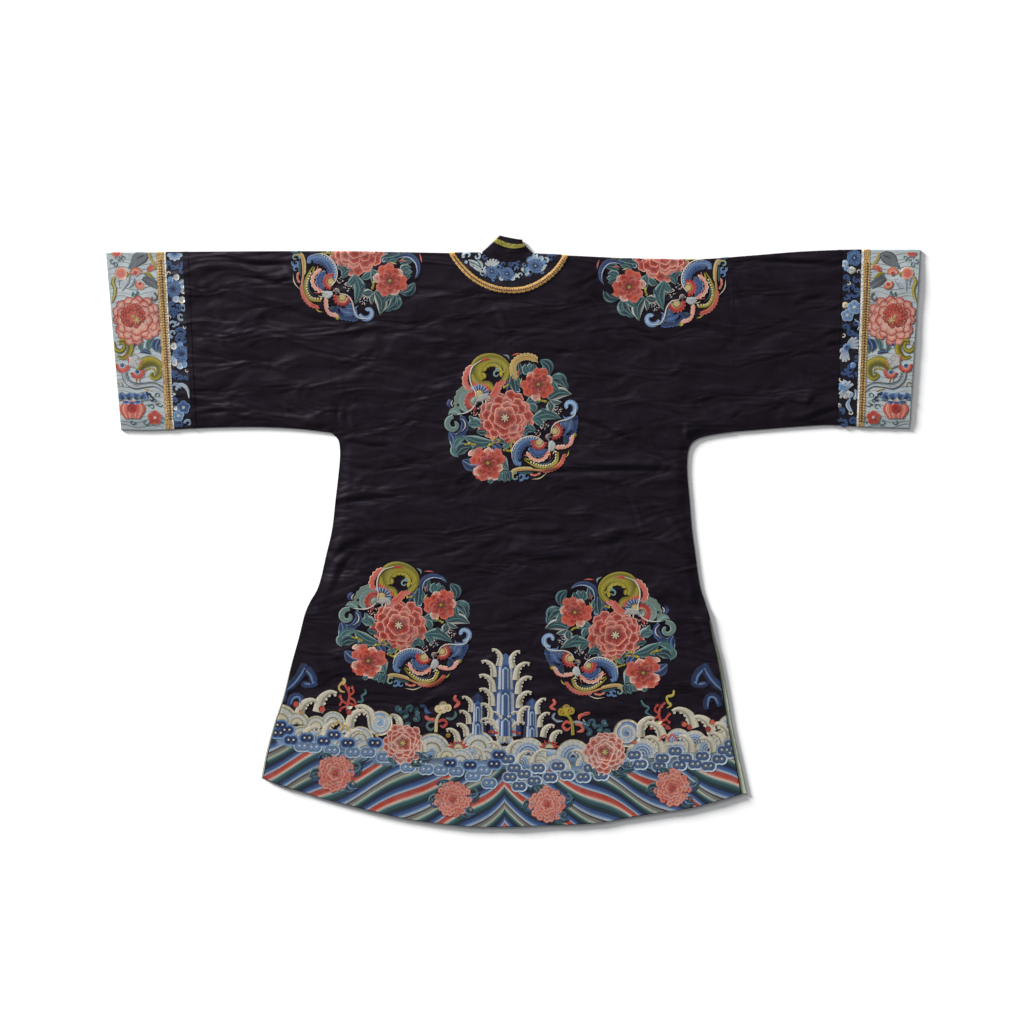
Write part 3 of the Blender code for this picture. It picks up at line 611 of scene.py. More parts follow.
# Cuff bands
# Five narrow tubes end each sleeve: black piping, an embroidered ribbon, a white cord, a gold
# braid and a wide facing of grey-blue damask. Their seams slant a little.
CUFF_BANDS = {
    "left": (
        ("piping", -594.0, -577.8), ("band", -625.1, -609.6), ("cord", -628.6, -612.9),
        ("braid", -642.6, -624.6), ("facing", -732.6, -705.6),
    ),
    "right": (
        ("piping", 592.2, 583.2), ("band", 627.6, 618.2), ("cord", 632.0, 622.2),
        ("braid", 643.0, 631.4), ("facing", 732.6, 712.8),
    ),
}


def damask(name, colour, pale, dark):
    """Pale figured silk: small woven floats over a plain ground, with a soft sheen."""
    look = bpy.data.materials.new(name)
    tree, shader = nodes_of(look)
    where = add_node(tree, "ShaderNodeTexCoord").outputs["Object"]
    figure = add_node(tree, "ShaderNodeTexVoronoi", Scale=85.0, feature="SMOOTH_F1")
    tree.links.new(where, figure.inputs["Vector"])
    cloud = add_node(tree, "ShaderNodeTexNoise", Scale=24.0, Detail=4.0)
    tree.links.new(where, cloud.inputs["Vector"])
    weft = add_node(tree, "ShaderNodeTexNoise", Scale=1.0, Detail=2.0)
    tree.links.new(stretched(tree, where, (300.0, 1100.0, 300.0)), weft.inputs["Vector"])
    base = blend_colours(tree, ramp(tree, figure.outputs["Distance"], ((0.2, 0.0), (0.7, 0.6))), colour,
                         pale)
    base = blend_colours(tree, ramp(tree, cloud.outputs["Fac"], ((0.45, 0.0), (0.8, 0.7))), base, dark)
    tree.links.new(base, shader.inputs["Base Color"])
    tree.links.new(ramp(tree, figure.outputs["Distance"], ((0.2, 0.36), (0.7, 0.55))),
                   shader.inputs["Roughness"])
    shader.inputs["Sheen Weight"].default_value = 0.25
    shader.inputs["Sheen Roughness"].default_value = 0.4
    bump = add_node(tree, "ShaderNodeBump", Strength=0.35, Distance=0.0004)
    tree.links.new(weft.outputs["Fac"], bump.inputs["Height"])
    tree.links.new(bump.outputs[0], shader.inputs["Normal"])
    return look


def braid_look(name, colour, pale, dark, scale):
    """Gimp braid: looped shiny thread, with painted shade in the hollows between the loops."""
    look = bpy.data.materials.new(name)
    tree, shader = nodes_of(look)
    where = add_node(tree, "ShaderNodeTexCoord").outputs["Object"]
    loops = add_node(tree, "ShaderNodeTexVoronoi", Scale=scale)
    tree.links.new(where, loops.inputs["Vector"])
    fuzz = add_node(tree, "ShaderNodeTexNoise", Scale=900.0, Detail=3.0)
    tree.links.new(where, fuzz.inputs["Vector"])
    mottle = add_node(tree, "ShaderNodeTexNoise", Scale=70.0, Detail=3.0)
    tree.links.new(where, mottle.inputs["Vector"])
    base = blend_colours(tree, ramp(tree, mottle.outputs["Fac"], ((0.35, 0.0), (0.7, 1.0))), colour, pale)
    # Darker towards the edges of each loop: painted shade in the hollows between the loops.
    base = blend_colours(tree, ramp(tree, loops.outputs["Distance"], ((0.35, 0.0), (0.75, 0.85))), base,
                         dark)
    tree.links.new(base, shader.inputs["Base Color"])
    tree.links.new(ramp(tree, fuzz.outputs["Fac"], ((0.3, 0.38), (0.7, 0.58))), shader.inputs["Roughness"])
    shader.inputs["Sheen Weight"].default_value = 0.2
    bump = add_node(tree, "ShaderNodeBump", Strength=0.6, Distance=0.0006, invert=True)
    tree.links.new(loops.outputs["Distance"], bump.inputs["Height"])
    fine = add_node(tree, "ShaderNodeBump", Strength=0.3, Distance=0.0002)
    tree.links.new(fuzz.outputs["Fac"], fine.inputs["Height"])
    tree.links.new(bump.outputs[0], fine.inputs["Normal"])
    tree.links.new(fine.outputs[0], shader.inputs["Normal"])
    return look


# Blue-black ribbon satin; its second, paler colour is the painted sheen of its patches.
ribbon_black = satin("ribbon_satin", (0.0045, 0.0045, 0.0075), (0.009, 0.010, 0.016), 0.42, 0.05)
pale_silk = damask("grey_blue_damask", (0.30, 0.345, 0.36), (0.385, 0.42, 0.43), (0.235, 0.285, 0.31))
gold_gimp = braid_look("gold_gimp", (0.39, 0.235, 0.068), (0.50, 0.325, 0.11), (0.17, 0.09, 0.032), 330.0)
white_cotton = braid_look("white_cord_cotton", (0.60, 0.60, 0.56), (0.74, 0.73, 0.69), (0.22, 0.2, 0.18),
                          420.0)
CUFF_LOOKS = {
    "piping": (black_silk, "black_silk"), "band": (ribbon_black, "embroidered_ribbon"),
    "cord": (white_cotton, "white_cord"), "braid": (gold_gimp, "gold_braid"),
    "facing": (pale_silk, "grey_blue_silk"),
}

cuff_cloth = {}
cuff_trims = {"left": [], "right": []}
for side, turn in (("left", -1.0), ("right", 1.0)):
    gap = 0.5 * SEAM_GAP * turn
    start = CUFF_START[side]
    for name, top_x, low_x in CUFF_BANDS[side]:
        raised = {"piping": 0.5, "cord": 0.5, "braid": 0.35}.get(name, 0.0)
        ends = ((start[0] + gap, start[1] + gap), (top_x - gap, low_x - gap))
        points = tube_points(side, ends, 3.0, lift=0.5 * CLOTH + raised)
        look, slot = CUFF_LOOKS[name]
        piece = shell("cuff_%s_tube_%s" % (name, side), points, look, ring=True)
        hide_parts("cuff_%s_%s" % (name, side))
        wide = 0.5e-3 * (abs(top_x - start[0]) + abs(low_x - start[1]))
        if name in ("band", "facing"):
            cuff_cloth[name, side] = (piece, points, wide)
        else:
            cuff_trims[side].append(piece)
        start = (top_x, low_x)

# Neck trims
# An embroidered round of black silk lies round the neck opening, and a scalloped gold gimp
# braid covers its outer edge. Both are open at the front.
TRIM_LIFT = 0.5 * CLOTH + SEAM_GAP + 0.5


def neck_path(pitch=2.5):
    """Dense rows round the neck from the left front to the right front."""
    rows = [row[:4] for row in NECK["left"]] + [row[:4] for row in NECK["right"][-2::-1]]
    folds = [k for k, row in enumerate(rows) if abs(row[1]) < QUARTER + 0.01]
    first, last = folds[0], folds[-1]
    left_end = [k for k in folds if k < len(rows) // 2][-1]
    right_start = [k for k in folds if k > len(rows) // 2][0]
    chains = [
        dense_rows(rows[:first + 1], pitch), dense_rows(rows[first:left_end + 1], 0.5)[1:],
        dense_rows(rows[left_end:right_start + 1], pitch)[1:],
        dense_rows(rows[right_start:last + 1], 0.5)[1:], dense_rows(rows[last:], pitch)[1:],
    ]
    return np.concatenate(chains)


def neck_points(near, far, columns, lift, scallop=0.0):
    """Grid round the neck, near and far measured from the neck edge or, if negative, the trim edge."""
    path = neck_path()
    length = np.hypot(path[:, 2] - path[:, 0], path[:, 3] - path[:, 1])
    walk = np.concatenate(([0.0], np.cumsum(np.hypot(*np.diff(path[:, 2:4], axis=0).T))))
    wave = scallop * np.abs(np.sin(math.pi * walk / 8.2))
    inner = (near(length) - wave) / length
    outer = (far(length) + wave) / length
    grid = inner[:, None] + (outer - inner)[:, None] * np.array(columns)
    x = path[:, 0:1] + (path[:, 2:3] - path[:, 0:1]) * grid
    s = path[:, 1:2] + (path[:, 3:4] - path[:, 1:2]) * grid
    return place(x, s, np.broadcast_to(lift, x.shape))


round_points = neck_points(
    lambda d: 1.2 + 0.0 * d, lambda d: d - 5.5, np.linspace(0.0, 1.0, 13), TRIM_LIFT + 0.5,
)
round_piece = shell("neck_round_band", round_points, ribbon_black, thickness=0.9)
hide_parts("neck_round")

neck_gimp = braid_look("neck_gimp", (0.46, 0.26, 0.07), (0.54, 0.33, 0.10), (0.26, 0.13, 0.03), 420.0)
crown = TRIM_LIFT + 0.5 + np.array((-0.2, 0.25, 0.45, 0.25, -0.2))
braid_points = neck_points(
    lambda d: d - 4.4, lambda d: d + 4.4, (0.0, 0.22, 0.5, 0.78, 1.0), crown, scallop=1.3,
)
braid_piece = shell("neck_gimp_braid", braid_points, neck_gimp, thickness=0.8)
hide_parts("neck_braid")

# Collar
# A low standing collar pressed flat, its back half above and its front halves below, with an
# olive gimp braid a little under its top edge.
COLLAR_LEFT = ((0.0, -56.4, 501.8), (1.0, -23.4, 532.8))
COLLAR_RIGHT = ((0.0, 36.6, 500.0), (0.62, 19.8, 516.6), (1.0, 16.2, 525.6))
COLLAR_OUTWARD = {"left": (-0.68, 0.73), "right": (0.76, 0.65)}
COLLAR_BRAID = {"left": (0.63, 0.83), "right": (0.50, 0.70)}
COLLAR_Z = float(front_mid(-10.0, 490.0))


def collar_end(side, height):
    table = COLLAR_LEFT if side == "left" else COLLAR_RIGHT
    x = smooth_through([row[:2] for row in table], height)
    y = smooth_through([(row[0], row[2]) for row in table], height)
    out = np.array(COLLAR_OUTWARD[side]) / math.hypot(*COLLAR_OUTWARD[side])
    edge = np.stack((x, y), axis=-1)
    return edge, out, edge - out * (FOLD_R + 0.5 * CLOTH)


def collar_points(low, high, count, lift):
    """Grid of a band of the collar between heights given at its left and right folds."""
    u = np.linspace(0.0, 1.0, count)
    left_foot = collar_end("left", 0.0)[2]
    right_foot = collar_end("right", 0.0)[2]

    def heights(spread):
        bottom = low[0] + (low[1] - low[0]) * spread
        return bottom + (high[0] + (high[1] - high[0]) * spread - bottom) * u

    def flat(neck_x, neck_s, spread):
        height = heights(spread)
        foot = (neck_x - left_foot[0]) / (right_foot[0] - left_foot[0])
        neck_y = float(fold_line(neck_x)) - (abs(neck_s) - QUARTER) + 0.7
        bow = left_foot[1] + (right_foot[1] - left_foot[1]) * foot - neck_y
        share = foot + (spread - foot) * height
        left, right = collar_end("left", height)[2], collar_end("right", height)[2]
        drop = 0.5 if neck_s > 0 else 14.0
        x = left[:, 0] + (right[:, 0] - left[:, 0]) * share
        y = left[:, 1] + (right[:, 1] - left[:, 1]) * share
        y = y - bow * (1.0 - height) - drop * 4.0 * share * (1.0 - share) * height
        ripple = 0.35 * np.sin(0.16 * x + 1.0) * height * (neck_s > 0)
        z = COLLAR_Z + 2.0 * FOLD_R + lift + ripple if neck_s > 0 else COLLAR_Z - lift + 0.0 * x
        return np.stack((x, y, z), axis=-1)

    def fold(side, angle, spread):
        centre = collar_end(side, heights(spread))[2]
        out = collar_end(side, 0.0)[1]
        spot = centre + out * ((FOLD_R + lift) * math.cos(angle))[:, None] if np.ndim(lift) else (
            centre + out * (FOLD_R + lift) * math.cos(angle))
        z = COLLAR_Z + FOLD_R + (FOLD_R + lift) * math.sin(angle) + 0.0 * u
        return np.concatenate((spot, z[:, None]), axis=1)

    path = neck_path(4.0)
    middle = len(path) // 2
    grid = []
    front = [row for row in path[:middle] if row[1] < -QUARTER - 0.3]
    for k, row in enumerate(front):
        grid.append(flat(row[0], row[1], 0.56 * (len(front) - k) / (len(front) + 0.5)))
    grid += [fold("left", math.radians(a), 0.0) for a in range(-90, 91, 18)]
    back = [row for row in path if row[1] > QUARTER + 0.3]
    for k, row in enumerate(back):
        grid.append(flat(row[0], row[1], (k + 1.0) / (len(back) + 1.0)))
    grid += [fold("right", math.radians(-a), 1.0) for a in range(-90, 91, 18)]
    front = [row for row in path[middle:] if row[1] < -QUARTER - 0.3]
    for k, row in enumerate(front):
        grid.append(flat(row[0], row[1], 1.0 - 0.42 * (k + 1.0) / (len(front) + 0.5)))
    return np.array(grid)


points = collar_points((0.0, 0.0), (1.0, 1.0), 13, 0.5 * CLOTH)
collar = shell("collar_band", points, black_silk)
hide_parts("collar")
collar_grid = points

olive_gimp = braid_look("olive_gimp", (0.23, 0.20, 0.015), (0.30, 0.27, 0.03), (0.06, 0.05, 0.006), 330.0)
points = collar_points(
    (COLLAR_BRAID["left"][0], COLLAR_BRAID["right"][0]),
    (COLLAR_BRAID["left"][1], COLLAR_BRAID["right"][1]), 4, TRIM_LIFT + 0.5,
)
collar_braid = shell("collar_gimp_braid", points, olive_gimp, thickness=0.9)
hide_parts("collar_braid")
declare_cloth(collar, collar_grid, 0.034, "folded", [collar_braid])

# Slit linings
# Celadon silk lines the front panels. It is seen as a narrow strip along each side slit,
# because the front hangs a little wider than the back there.
celadon = damask("celadon_silk", (0.33, 0.375, 0.27), (0.43, 0.47, 0.36), (0.22, 0.26, 0.19))

for side, turn in (("left", -1.0), ("right", 1.0)):
    rows = body_rows(side, 16.0, 16.0)
    rows = rows[(rows[:, 4] <= 0.0) & (rows[:, 1] < 0.0)]
    rows = rows[:int(np.argmax(rows[:, 4] > -0.15))]
    outer = rows[:, 2:3] - 0.5 * turn
    x = outer - 46.0 * turn * np.linspace(0.0, 1.0, 8)
    t = (x - rows[:, 0:1]) / (rows[:, 2:3] - rows[:, 0:1])
    s = rows[:, 1:2] + (rows[:, 3:4] - rows[:, 1:2]) * t
    x_hem = rows[0, 0] + (rows[0, 2] - rows[0, 0]) * t
    s_hem = rows[0, 1] + (rows[0, 3] - rows[0, 1]) * t
    bow = length_at(x_hem, smooth_through(HEM_EDGE, x_hem)) + s_hem
    s = s - bow * np.abs(rows[:, 4:5])
    s[0] = s[0] + 1.0
    points = place(x, s, -TRIM_LIFT - 0.4)
    lining = shell("slit_lining_strip_" + side, points, celadon, thickness=0.8)
    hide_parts("slit_lining_" + side)
    declare_cloth(lining, points, 0.046, "laid")

# Embroidery
# Silk threads stitched on the black satin: every petal, leaf and wing is one raised area of
# shaded satin stitch, laid edge to edge or over its neighbour as in the real work.
def dye(r, g, b):
    """Thread colour from its 0 to 255 shade."""
    return tuple(0.58 * ((c / 255.0 + 0.055) / 1.055) ** 2.4 for c in (r, g, b))


THREAD = {
    "coral": dye(204, 68, 50), "red": dye(176, 44, 34), "salmon": dye(222, 110, 90),
    "pink": dye(242, 172, 150), "blush": dye(250, 214, 194), "orange": dye(220, 90, 58),
    "rust": dye(112, 26, 24), "cream": dye(222, 208, 172), "white": dye(220, 216, 206),
    "butter": dye(216, 194, 122), "gold": dye(202, 158, 82), "ochre": dye(166, 118, 46),
    "olive": dye(142, 132, 28), "moss": dye(98, 92, 22), "yellow": dye(190, 172, 40),
    "ivy": dye(30, 60, 64), "teal": dye(52, 98, 104), "sea": dye(98, 142, 142),
    "mint": dye(156, 184, 176), "sage": dye(122, 142, 128), "navy": dye(24, 38, 74),
    "indigo": dye(34, 58, 108), "blue": dye(60, 98, 156), "sky": dye(120, 158, 202),
    "ice": dye(186, 204, 220), "slate": dye(92, 108, 124), "grey": dye(138, 142, 140),
    "brown": dye(92, 62, 44), "black": dye(16, 12, 16),
}


class Needlework:
    """Embroidery in hand: its mesh, and how a motif's own units lie on the page."""

    def __init__(self):
        self.bm = bmesh.new()
        self.paint = self.bm.verts.layers.float_color.new("thread")
        self.grain = self.bm.verts.layers.float_vector.new("grain")
        self.chance = random.Random(7)
        self.grids = {}
        self.lay(0.0, 0.0, 1.0)

    def lay(self, x, y, scale, turn=0.0, mirror=False, squash=1.0):
        a = math.radians(turn)
        flip = -1.0 if mirror else 1.0
        self.scale = scale
        self.matrix = np.array((
            (flip * scale * math.cos(a), -flip * scale * math.sin(a)),
            (scale * squash * math.sin(a), scale * squash * math.cos(a)),
        ))
        self.origin = np.array((x, y))

    def patch(self, across, along, form):
        """One area of stitches, a small grid that form(u, v) lays out and colours."""
        made = bmesh.ops.create_grid(self.bm, x_segments=across, y_segments=along, size=0.5)["verts"]
        if (across, along) not in self.grids:
            self.grids[across, along] = np.array([tuple(vert.co)[:2] for vert in made]) + 0.5
        u, v = self.grids[across, along].T
        spot, height, colour, grain = form(u, v)
        page = spot @ self.matrix.T + self.origin
        seed = self.chance.uniform(0.0, 90.0)
        rows = zip(made, page.tolist(), height.tolist(), colour.tolist(), (grain * self.scale).tolist())
        paint, warp = self.paint, self.grain
        for vert, (x, y), h, c, g in rows:
            vert.co = (x, y, h)
            vert[paint] = (c[0], c[1], c[2], 1.0)
            vert[warp] = (g[0], g[1], seed)


def tone(name, share=1.0):
    colour = THREAD[name] if isinstance(name, str) else name
    return np.array(colour) * share


def mixed(a, b, t):
    return tone(a) * (1.0 - t) + tone(b) * t


ACROSS = np.array((0.0, 0.06, 0.25, 0.5, 0.75, 0.94, 1.0))


def strand(work, path, width, tones, tips=None, swell=(0.0, 1.0, 0.0), steps=10, rise=0.13, layer=0.0):
    """A leaf, petal, stem or tendril: stitches across a smooth path, tones from edge to edge."""
    points = np.array(path, dtype=float)
    gaps = np.hypot(*np.diff(points, axis=0).T)
    share = np.concatenate(([0.0], np.cumsum(gaps))) / gaps.sum()
    size = float(gaps.sum())
    swelling = [(k / (len(swell) - 1.0), value) for k, value in enumerate(swell)]
    root = [tones[k] for k in {1: (0, 0, 0, 0, 0), 3: (0, 1, 2, 1, 0), 5: (0, 1, 2, 3, 4)}[len(tones)]]
    tips = tips or tones
    tip = [tips[k] for k in {1: (0, 0, 0, 0, 0), 3: (0, 1, 2, 1, 0), 5: (0, 1, 2, 3, 4)}[len(tips)]]
    first = np.array([tone(root[k]) for k in (0, 0, 1, 2, 3, 4, 4)])
    last = np.array([tone(tip[k]) for k in (0, 0, 1, 2, 3, 4, 4)])
    crown = np.array((-1.0, 0.3, 0.85, 1.0, 0.85, 0.3, -1.0))
    # The sunk edge columns are darkened to 0.3: painted shade where the stitches dip into the cloth, partly
    # also the thin line of bare black ground between stitched areas.
    for row in (first, last):
        row[0], row[6] = 0.3 * row[0], 0.3 * row[6]

    def form(u, v):
        k = np.rint(u * 6).astype(int)
        px, py = share_path(points, share, v)
        ax, ay = share_path(points, share, np.clip(v - 0.03, 0.0, 1.0))
        bx, by = share_path(points, share, np.clip(v + 0.03, 0.0, 1.0))
        dx, dy = bx - ax, by - ay
        norm = np.maximum(np.hypot(dx, dy), 1e-9)
        wide = np.maximum(smooth_through(swelling, v), 0.0) * width
        off = (ACROSS[k] - 0.5) * wide
        spot = np.stack((px - dy / norm * off, py + dx / norm * off), axis=1)
        height = np.where(crown[k] < 0.0, -0.15, 0.38 + layer * 0.12 + crown[k] * rise)
        colour = first[k] * (1.0 - v[:, None]) + last[k] * v[:, None]
        return spot, height, colour, np.stack((v * size, ACROSS[k] * wide), axis=1)

    work.patch(6, steps, form)


def share_path(points, share, v):
    if len(points) == 2:
        return tuple(points[0, c] + (points[1, c] - points[0, c]) * v for c in (0, 1))
    return tuple(smooth_through(list(zip(share, points[:, c])), v) for c in (0, 1))


def fan(work, x, y, inner, outer, start, stop, rings, lobes=1, depth=0.0, steps=12, rise=0.12, layer=0.0,
        hem=None):
    """A disc, petal or fringe about a point: rings of (share of the radius, tone), lobed edge."""
    shares = np.array([rings[0][0]] + [ring[0] for ring in rings] + [rings[-1][0]])
    tones = np.array([tone(ring[1]) for ring in [rings[0]] + list(rings) + [rings[-1]]])
    last = len(shares) - 1

    def form(u, v):
        k = np.rint(u * last).astype(int)
        angle = np.radians(start + (stop - start) * v)
        lobe = 1.0 - depth + depth * np.sqrt(np.abs(np.sin(math.pi * lobes * v)))
        radius = inner + (outer * lobe - inner) * shares[k]
        spot = np.stack((x + radius * np.cos(angle), y + radius * np.sin(angle)), axis=1)
        edge = (k == last) | ((k == 0) & (inner > 0.0))
        crown = rise * np.sqrt(np.clip(1.0 - (2.0 * shares[k] - 1.0) ** 2, 0.05, 1.0))
        if inner == 0.0:
            crown = rise * np.sqrt(np.clip(1.0 - 0.9 * shares[k] ** 2, 0.05, 1.0))
        height = np.where(edge, -0.15, 0.38 + layer * 0.12 + crown)
        # Sunk edges are darkened to 0.3: painted shade where the stitches dip into the cloth, partly also
        # the bare black ground between stitched areas.
        colour = tones[k] * np.where(edge, 0.3, 1.0 + 0.1 * np.cos(math.pi * steps * v))[:, None]
        if hem is not None:
            sides = np.clip((np.abs(2.0 * v - 1.0) - 0.55) / 0.35, 0.0, 1.0)[:, None] * (shares[k] > 0.3)[:,
                    None]
            colour = colour * (1.0 - sides) + tone(hem) * sides
        return spot, height, colour, np.stack((angle * outer, radius), axis=1)

    work.patch(last, steps, form)


def petal(work, x, y, radius, middle, spread, lengthwise, rim, body, heart, layer=0.0, notch=0.12,
          crease=None):
    """A broad rounded petal with a pale edge, pointing away from its flower's heart."""
    fan(work, x, y, lengthwise, radius, middle - spread, middle + spread,
        ((0.0, heart), (0.3, heart), (0.5, mixed(heart, body, 0.7)), (0.82, body), (0.93, rim), (1.0, rim)),
        lobes=2, depth=notch, steps=10, rise=0.14, layer=layer, hem=crease or rim)


def cupped_petal(work, x, y, radius, middle, wide, rim, body, heart, layer=0.0):
    """A cupped petal with a round end, pale along its edge and dark at its root."""
    a = math.radians(middle)
    tip = (x + radius * math.cos(a), y + radius * math.sin(a))
    strand(work, ((x, y), (0.5 * (x + tip[0]), 0.5 * (y + tip[1])), tip), wide,
           (heart, heart, heart, heart, heart), (rim, body, body, body, rim),
           swell=(0.45, 0.8, 1.0, 1.02, 0.35), steps=7, rise=0.12, layer=layer)
    fan(work, tip[0] - 0.30 * wide * math.cos(a), tip[1] - 0.30 * wide * math.sin(a), 0.0, 0.52 * wide,
        middle - 95.0,
        middle + 95.0, ((0.0, mixed(heart, body, 0.05)), (0.42, mixed(heart, body, 0.55)), (0.74, body),
                        (0.93, rim), (1.0, rim)), lobes=3, depth=0.14, steps=12, rise=0.1,
        layer=layer + 0.3)


def peony(work, x, y, r, body="coral", rim="pink", heart="rust", turn=0.0, rings=4, centre="cream",
          layer=0.0):
    """Full-blown peony: rings of cupped petals round a tuft of stamens."""
    chance = random.Random(int(1000 * (x + 3.0 * y)) + 5)
    for k in range(rings):
        outer = r * (1.0, 0.8, 0.58, 0.38)[k]
        count = (15, 12, 8, 5)[k]
        for n in range(count):
            angle = turn + 360.0 * n / count + 17.0 * k + chance.uniform(-6.0, 6.0)
            size = outer * chance.uniform(0.88, 1.05)
            a = math.radians(angle)
            near = outer * 0.22
            shade = body if chance.random() < 0.7 else mixed(body, rim, 0.4)
            cupped_petal(work, x + near * math.cos(a), y + near * math.sin(a), size - near, angle,
                         2.0 * math.pi * outer / count * chance.uniform(0.88, 1.12), rim, shade, heart,
                         layer=layer + 0.7 * k)
    for n in range(7):
        a = math.radians(51.4 * n + 10.0)
        strand(work, ((x, y), (x + 0.15 * r * math.cos(a), y + 0.15 * r * math.sin(a))), 0.06 * r,
               (centre,), swell=(0.6, 1.0, 0.8), steps=3, rise=0.4, layer=layer + 3.0)
    fan(work, x, y, 0.0, 0.08 * r, 0.0, 360.0, ((0.0, "olive"), (0.7, centre), (1.0, "gold")),
        layer=layer + 3.4)


LEAF = {
    "teal": (("mint", "teal", "ivy", "teal", "mint"), ("sea", "ivy", "teal", "ivy", "mint")),
    "dark": (("sea", "ivy", "navy", "ivy", "sea"), ("mint", "ivy", "ivy", "navy", "sea")),
    "navy": (("blue", "navy", "indigo", "navy", "blue"), ("slate", "navy", "blue", "indigo", "slate")),
    "pale": (("white", "ivy", "ivy", "teal", "white"), ("white", "teal", "ivy", "ivy", "white")),
    "mist": (("mint", "teal", "ivy", "sea", "mint"), ("mint", "sea", "teal", "ivy", "ice")),
}


def leaf(work, x0, y0, x1, y1, width, kind="teal", bend=0.12, layer=0.0):
    """Leaf from its stalk to its tip, its two halves in different shades."""
    dx, dy = x1 - x0, y1 - y0
    path = ((x0, y0), (x0 + 0.5 * dx - bend * dy, y0 + 0.5 * dy + bend * dx), (x1, y1))
    tones, tips = LEAF[kind]
    strand(work, path, 1.14 * width, tones, tips, swell=(0.2, 1.0, 0.85, 0.0), steps=10, layer=layer)
    strand(work, path, 0.10 * width, ("sky" if kind == "navy" else "sea",), swell=(0.8, 1.0, 0.2),
           steps=6, rise=0.1, layer=layer + 1.2)


def curl(work, x, y, r, turns, start, width, tones, layer=0.0, steps=18, swell=(1.0, 0.9, 0.5)):
    """Scroll that winds inwards from its outer end."""
    path = []
    for k in range(steps // 2 + 1):
        t = k / (steps // 2)
        a = math.radians(start + 360.0 * turns * t)
        path.append((x + r * (1.0 - 0.78 * t) * math.cos(a), y + r * (1.0 - 0.78 * t) * math.sin(a)))
    strand(work, path, width, tones, swell=swell, steps=steps, layer=layer)


def beads(work, path, count, size, tones, side=0.0, layer=0.0):
    """Row of small round stitches along a path, or to one side of it."""
    points = np.array(path, dtype=float)
    gaps = np.hypot(*np.diff(points, axis=0).T)
    share = np.concatenate(([0.0], np.cumsum(gaps))) / gaps.sum()
    v = np.linspace(0.0, 1.0, count)
    px, py = share_path(points, share, v)
    bx, by = share_path(points, share, np.clip(v + 0.02, 0.0, 1.0))
    ax, ay = share_path(points, share, np.clip(v - 0.02, 0.0, 1.0))
    norm = np.maximum(np.hypot(bx - ax, by - ay), 1e-9)
    for k in range(count):
        x = px[k] - (by[k] - ay[k]) / norm[k] * side
        y = py[k] + (bx[k] - ax[k]) / norm[k] * side
        fan(work, x, y, 0.0, size, 0.0, 360.0, ((0.0, tones[k % len(tones)]), (1.0, tones[k % len(tones)])),
            steps=6, rise=0.35, layer=layer)


def lobes_along(work, path, count, size, rim, body, heart, side, layer=0.0):
    """Scalloped border: round lobes standing out from one side of a path."""
    points = np.array(path, dtype=float)
    gaps = np.hypot(*np.diff(points, axis=0).T)
    share = np.concatenate(([0.0], np.cumsum(gaps))) / gaps.sum()
    v = (np.arange(count) + 0.5) / count
    px, py = share_path(points, share, v)
    bx, by = share_path(points, share, np.clip(v + 0.02, 0.0, 1.0))
    ax, ay = share_path(points, share, np.clip(v - 0.02, 0.0, 1.0))
    for k in range(count):
        angle = math.degrees(math.atan2(by[k] - ay[k], bx[k] - ax[k])) + 90.0 * side
        a = math.radians(angle)
        fan(work, px[k] - 0.3 * size * math.cos(a), py[k] - 0.3 * size * math.sin(a), 0.0, 1.35 * size,
            angle - 68.0, angle + 68.0, ((0.0, heart), (0.45, body), (0.8, body), (0.9, rim), (1.0, rim)),
            lobes=3, depth=0.12, steps=9, layer=layer)


def eyespot(work, x, y, r, facing, sweep=200.0, rays="coral", tips="orange", layer=1.0):
    """Butterfly's eyespot: a cream half moon inside a fringe of bright rays."""
    start, stop = facing - 0.5 * sweep, facing + 0.5 * sweep
    fan(work, x, y, 0.42 * r, r, start, stop, ((0.0, "cream"), (0.22, tips), (0.6, rays), (1.0, rays)),
        lobes=9, depth=0.2, steps=27, layer=layer)
    fan(work, x, y, 0.0, 0.40 * r, 0.0, 360.0, ((0.0, "butter"), (0.6, "butter"), (0.85, "gold"),
                                                (1.0, "rust")),
        layer=layer + 1.0)


def seeds(work, x, y, r, count, layer=0.0):
    """Scattered knots on the bare ground."""
    chance = random.Random(int(5000 * (x - y)) + 11)
    for k in range(count):
        a, d = chance.uniform(0.0, 6.28), r * math.sqrt(chance.random())
        shade = chance.choice(("ice", "grey", "white", "brown", "pink"))
        fan(work, x + d * math.cos(a), y + d * math.sin(a), 0.0, 0.010, 0.0, 360.0,
            ((0.0, shade), (1.0, shade)), steps=5, rise=0.2, layer=layer)


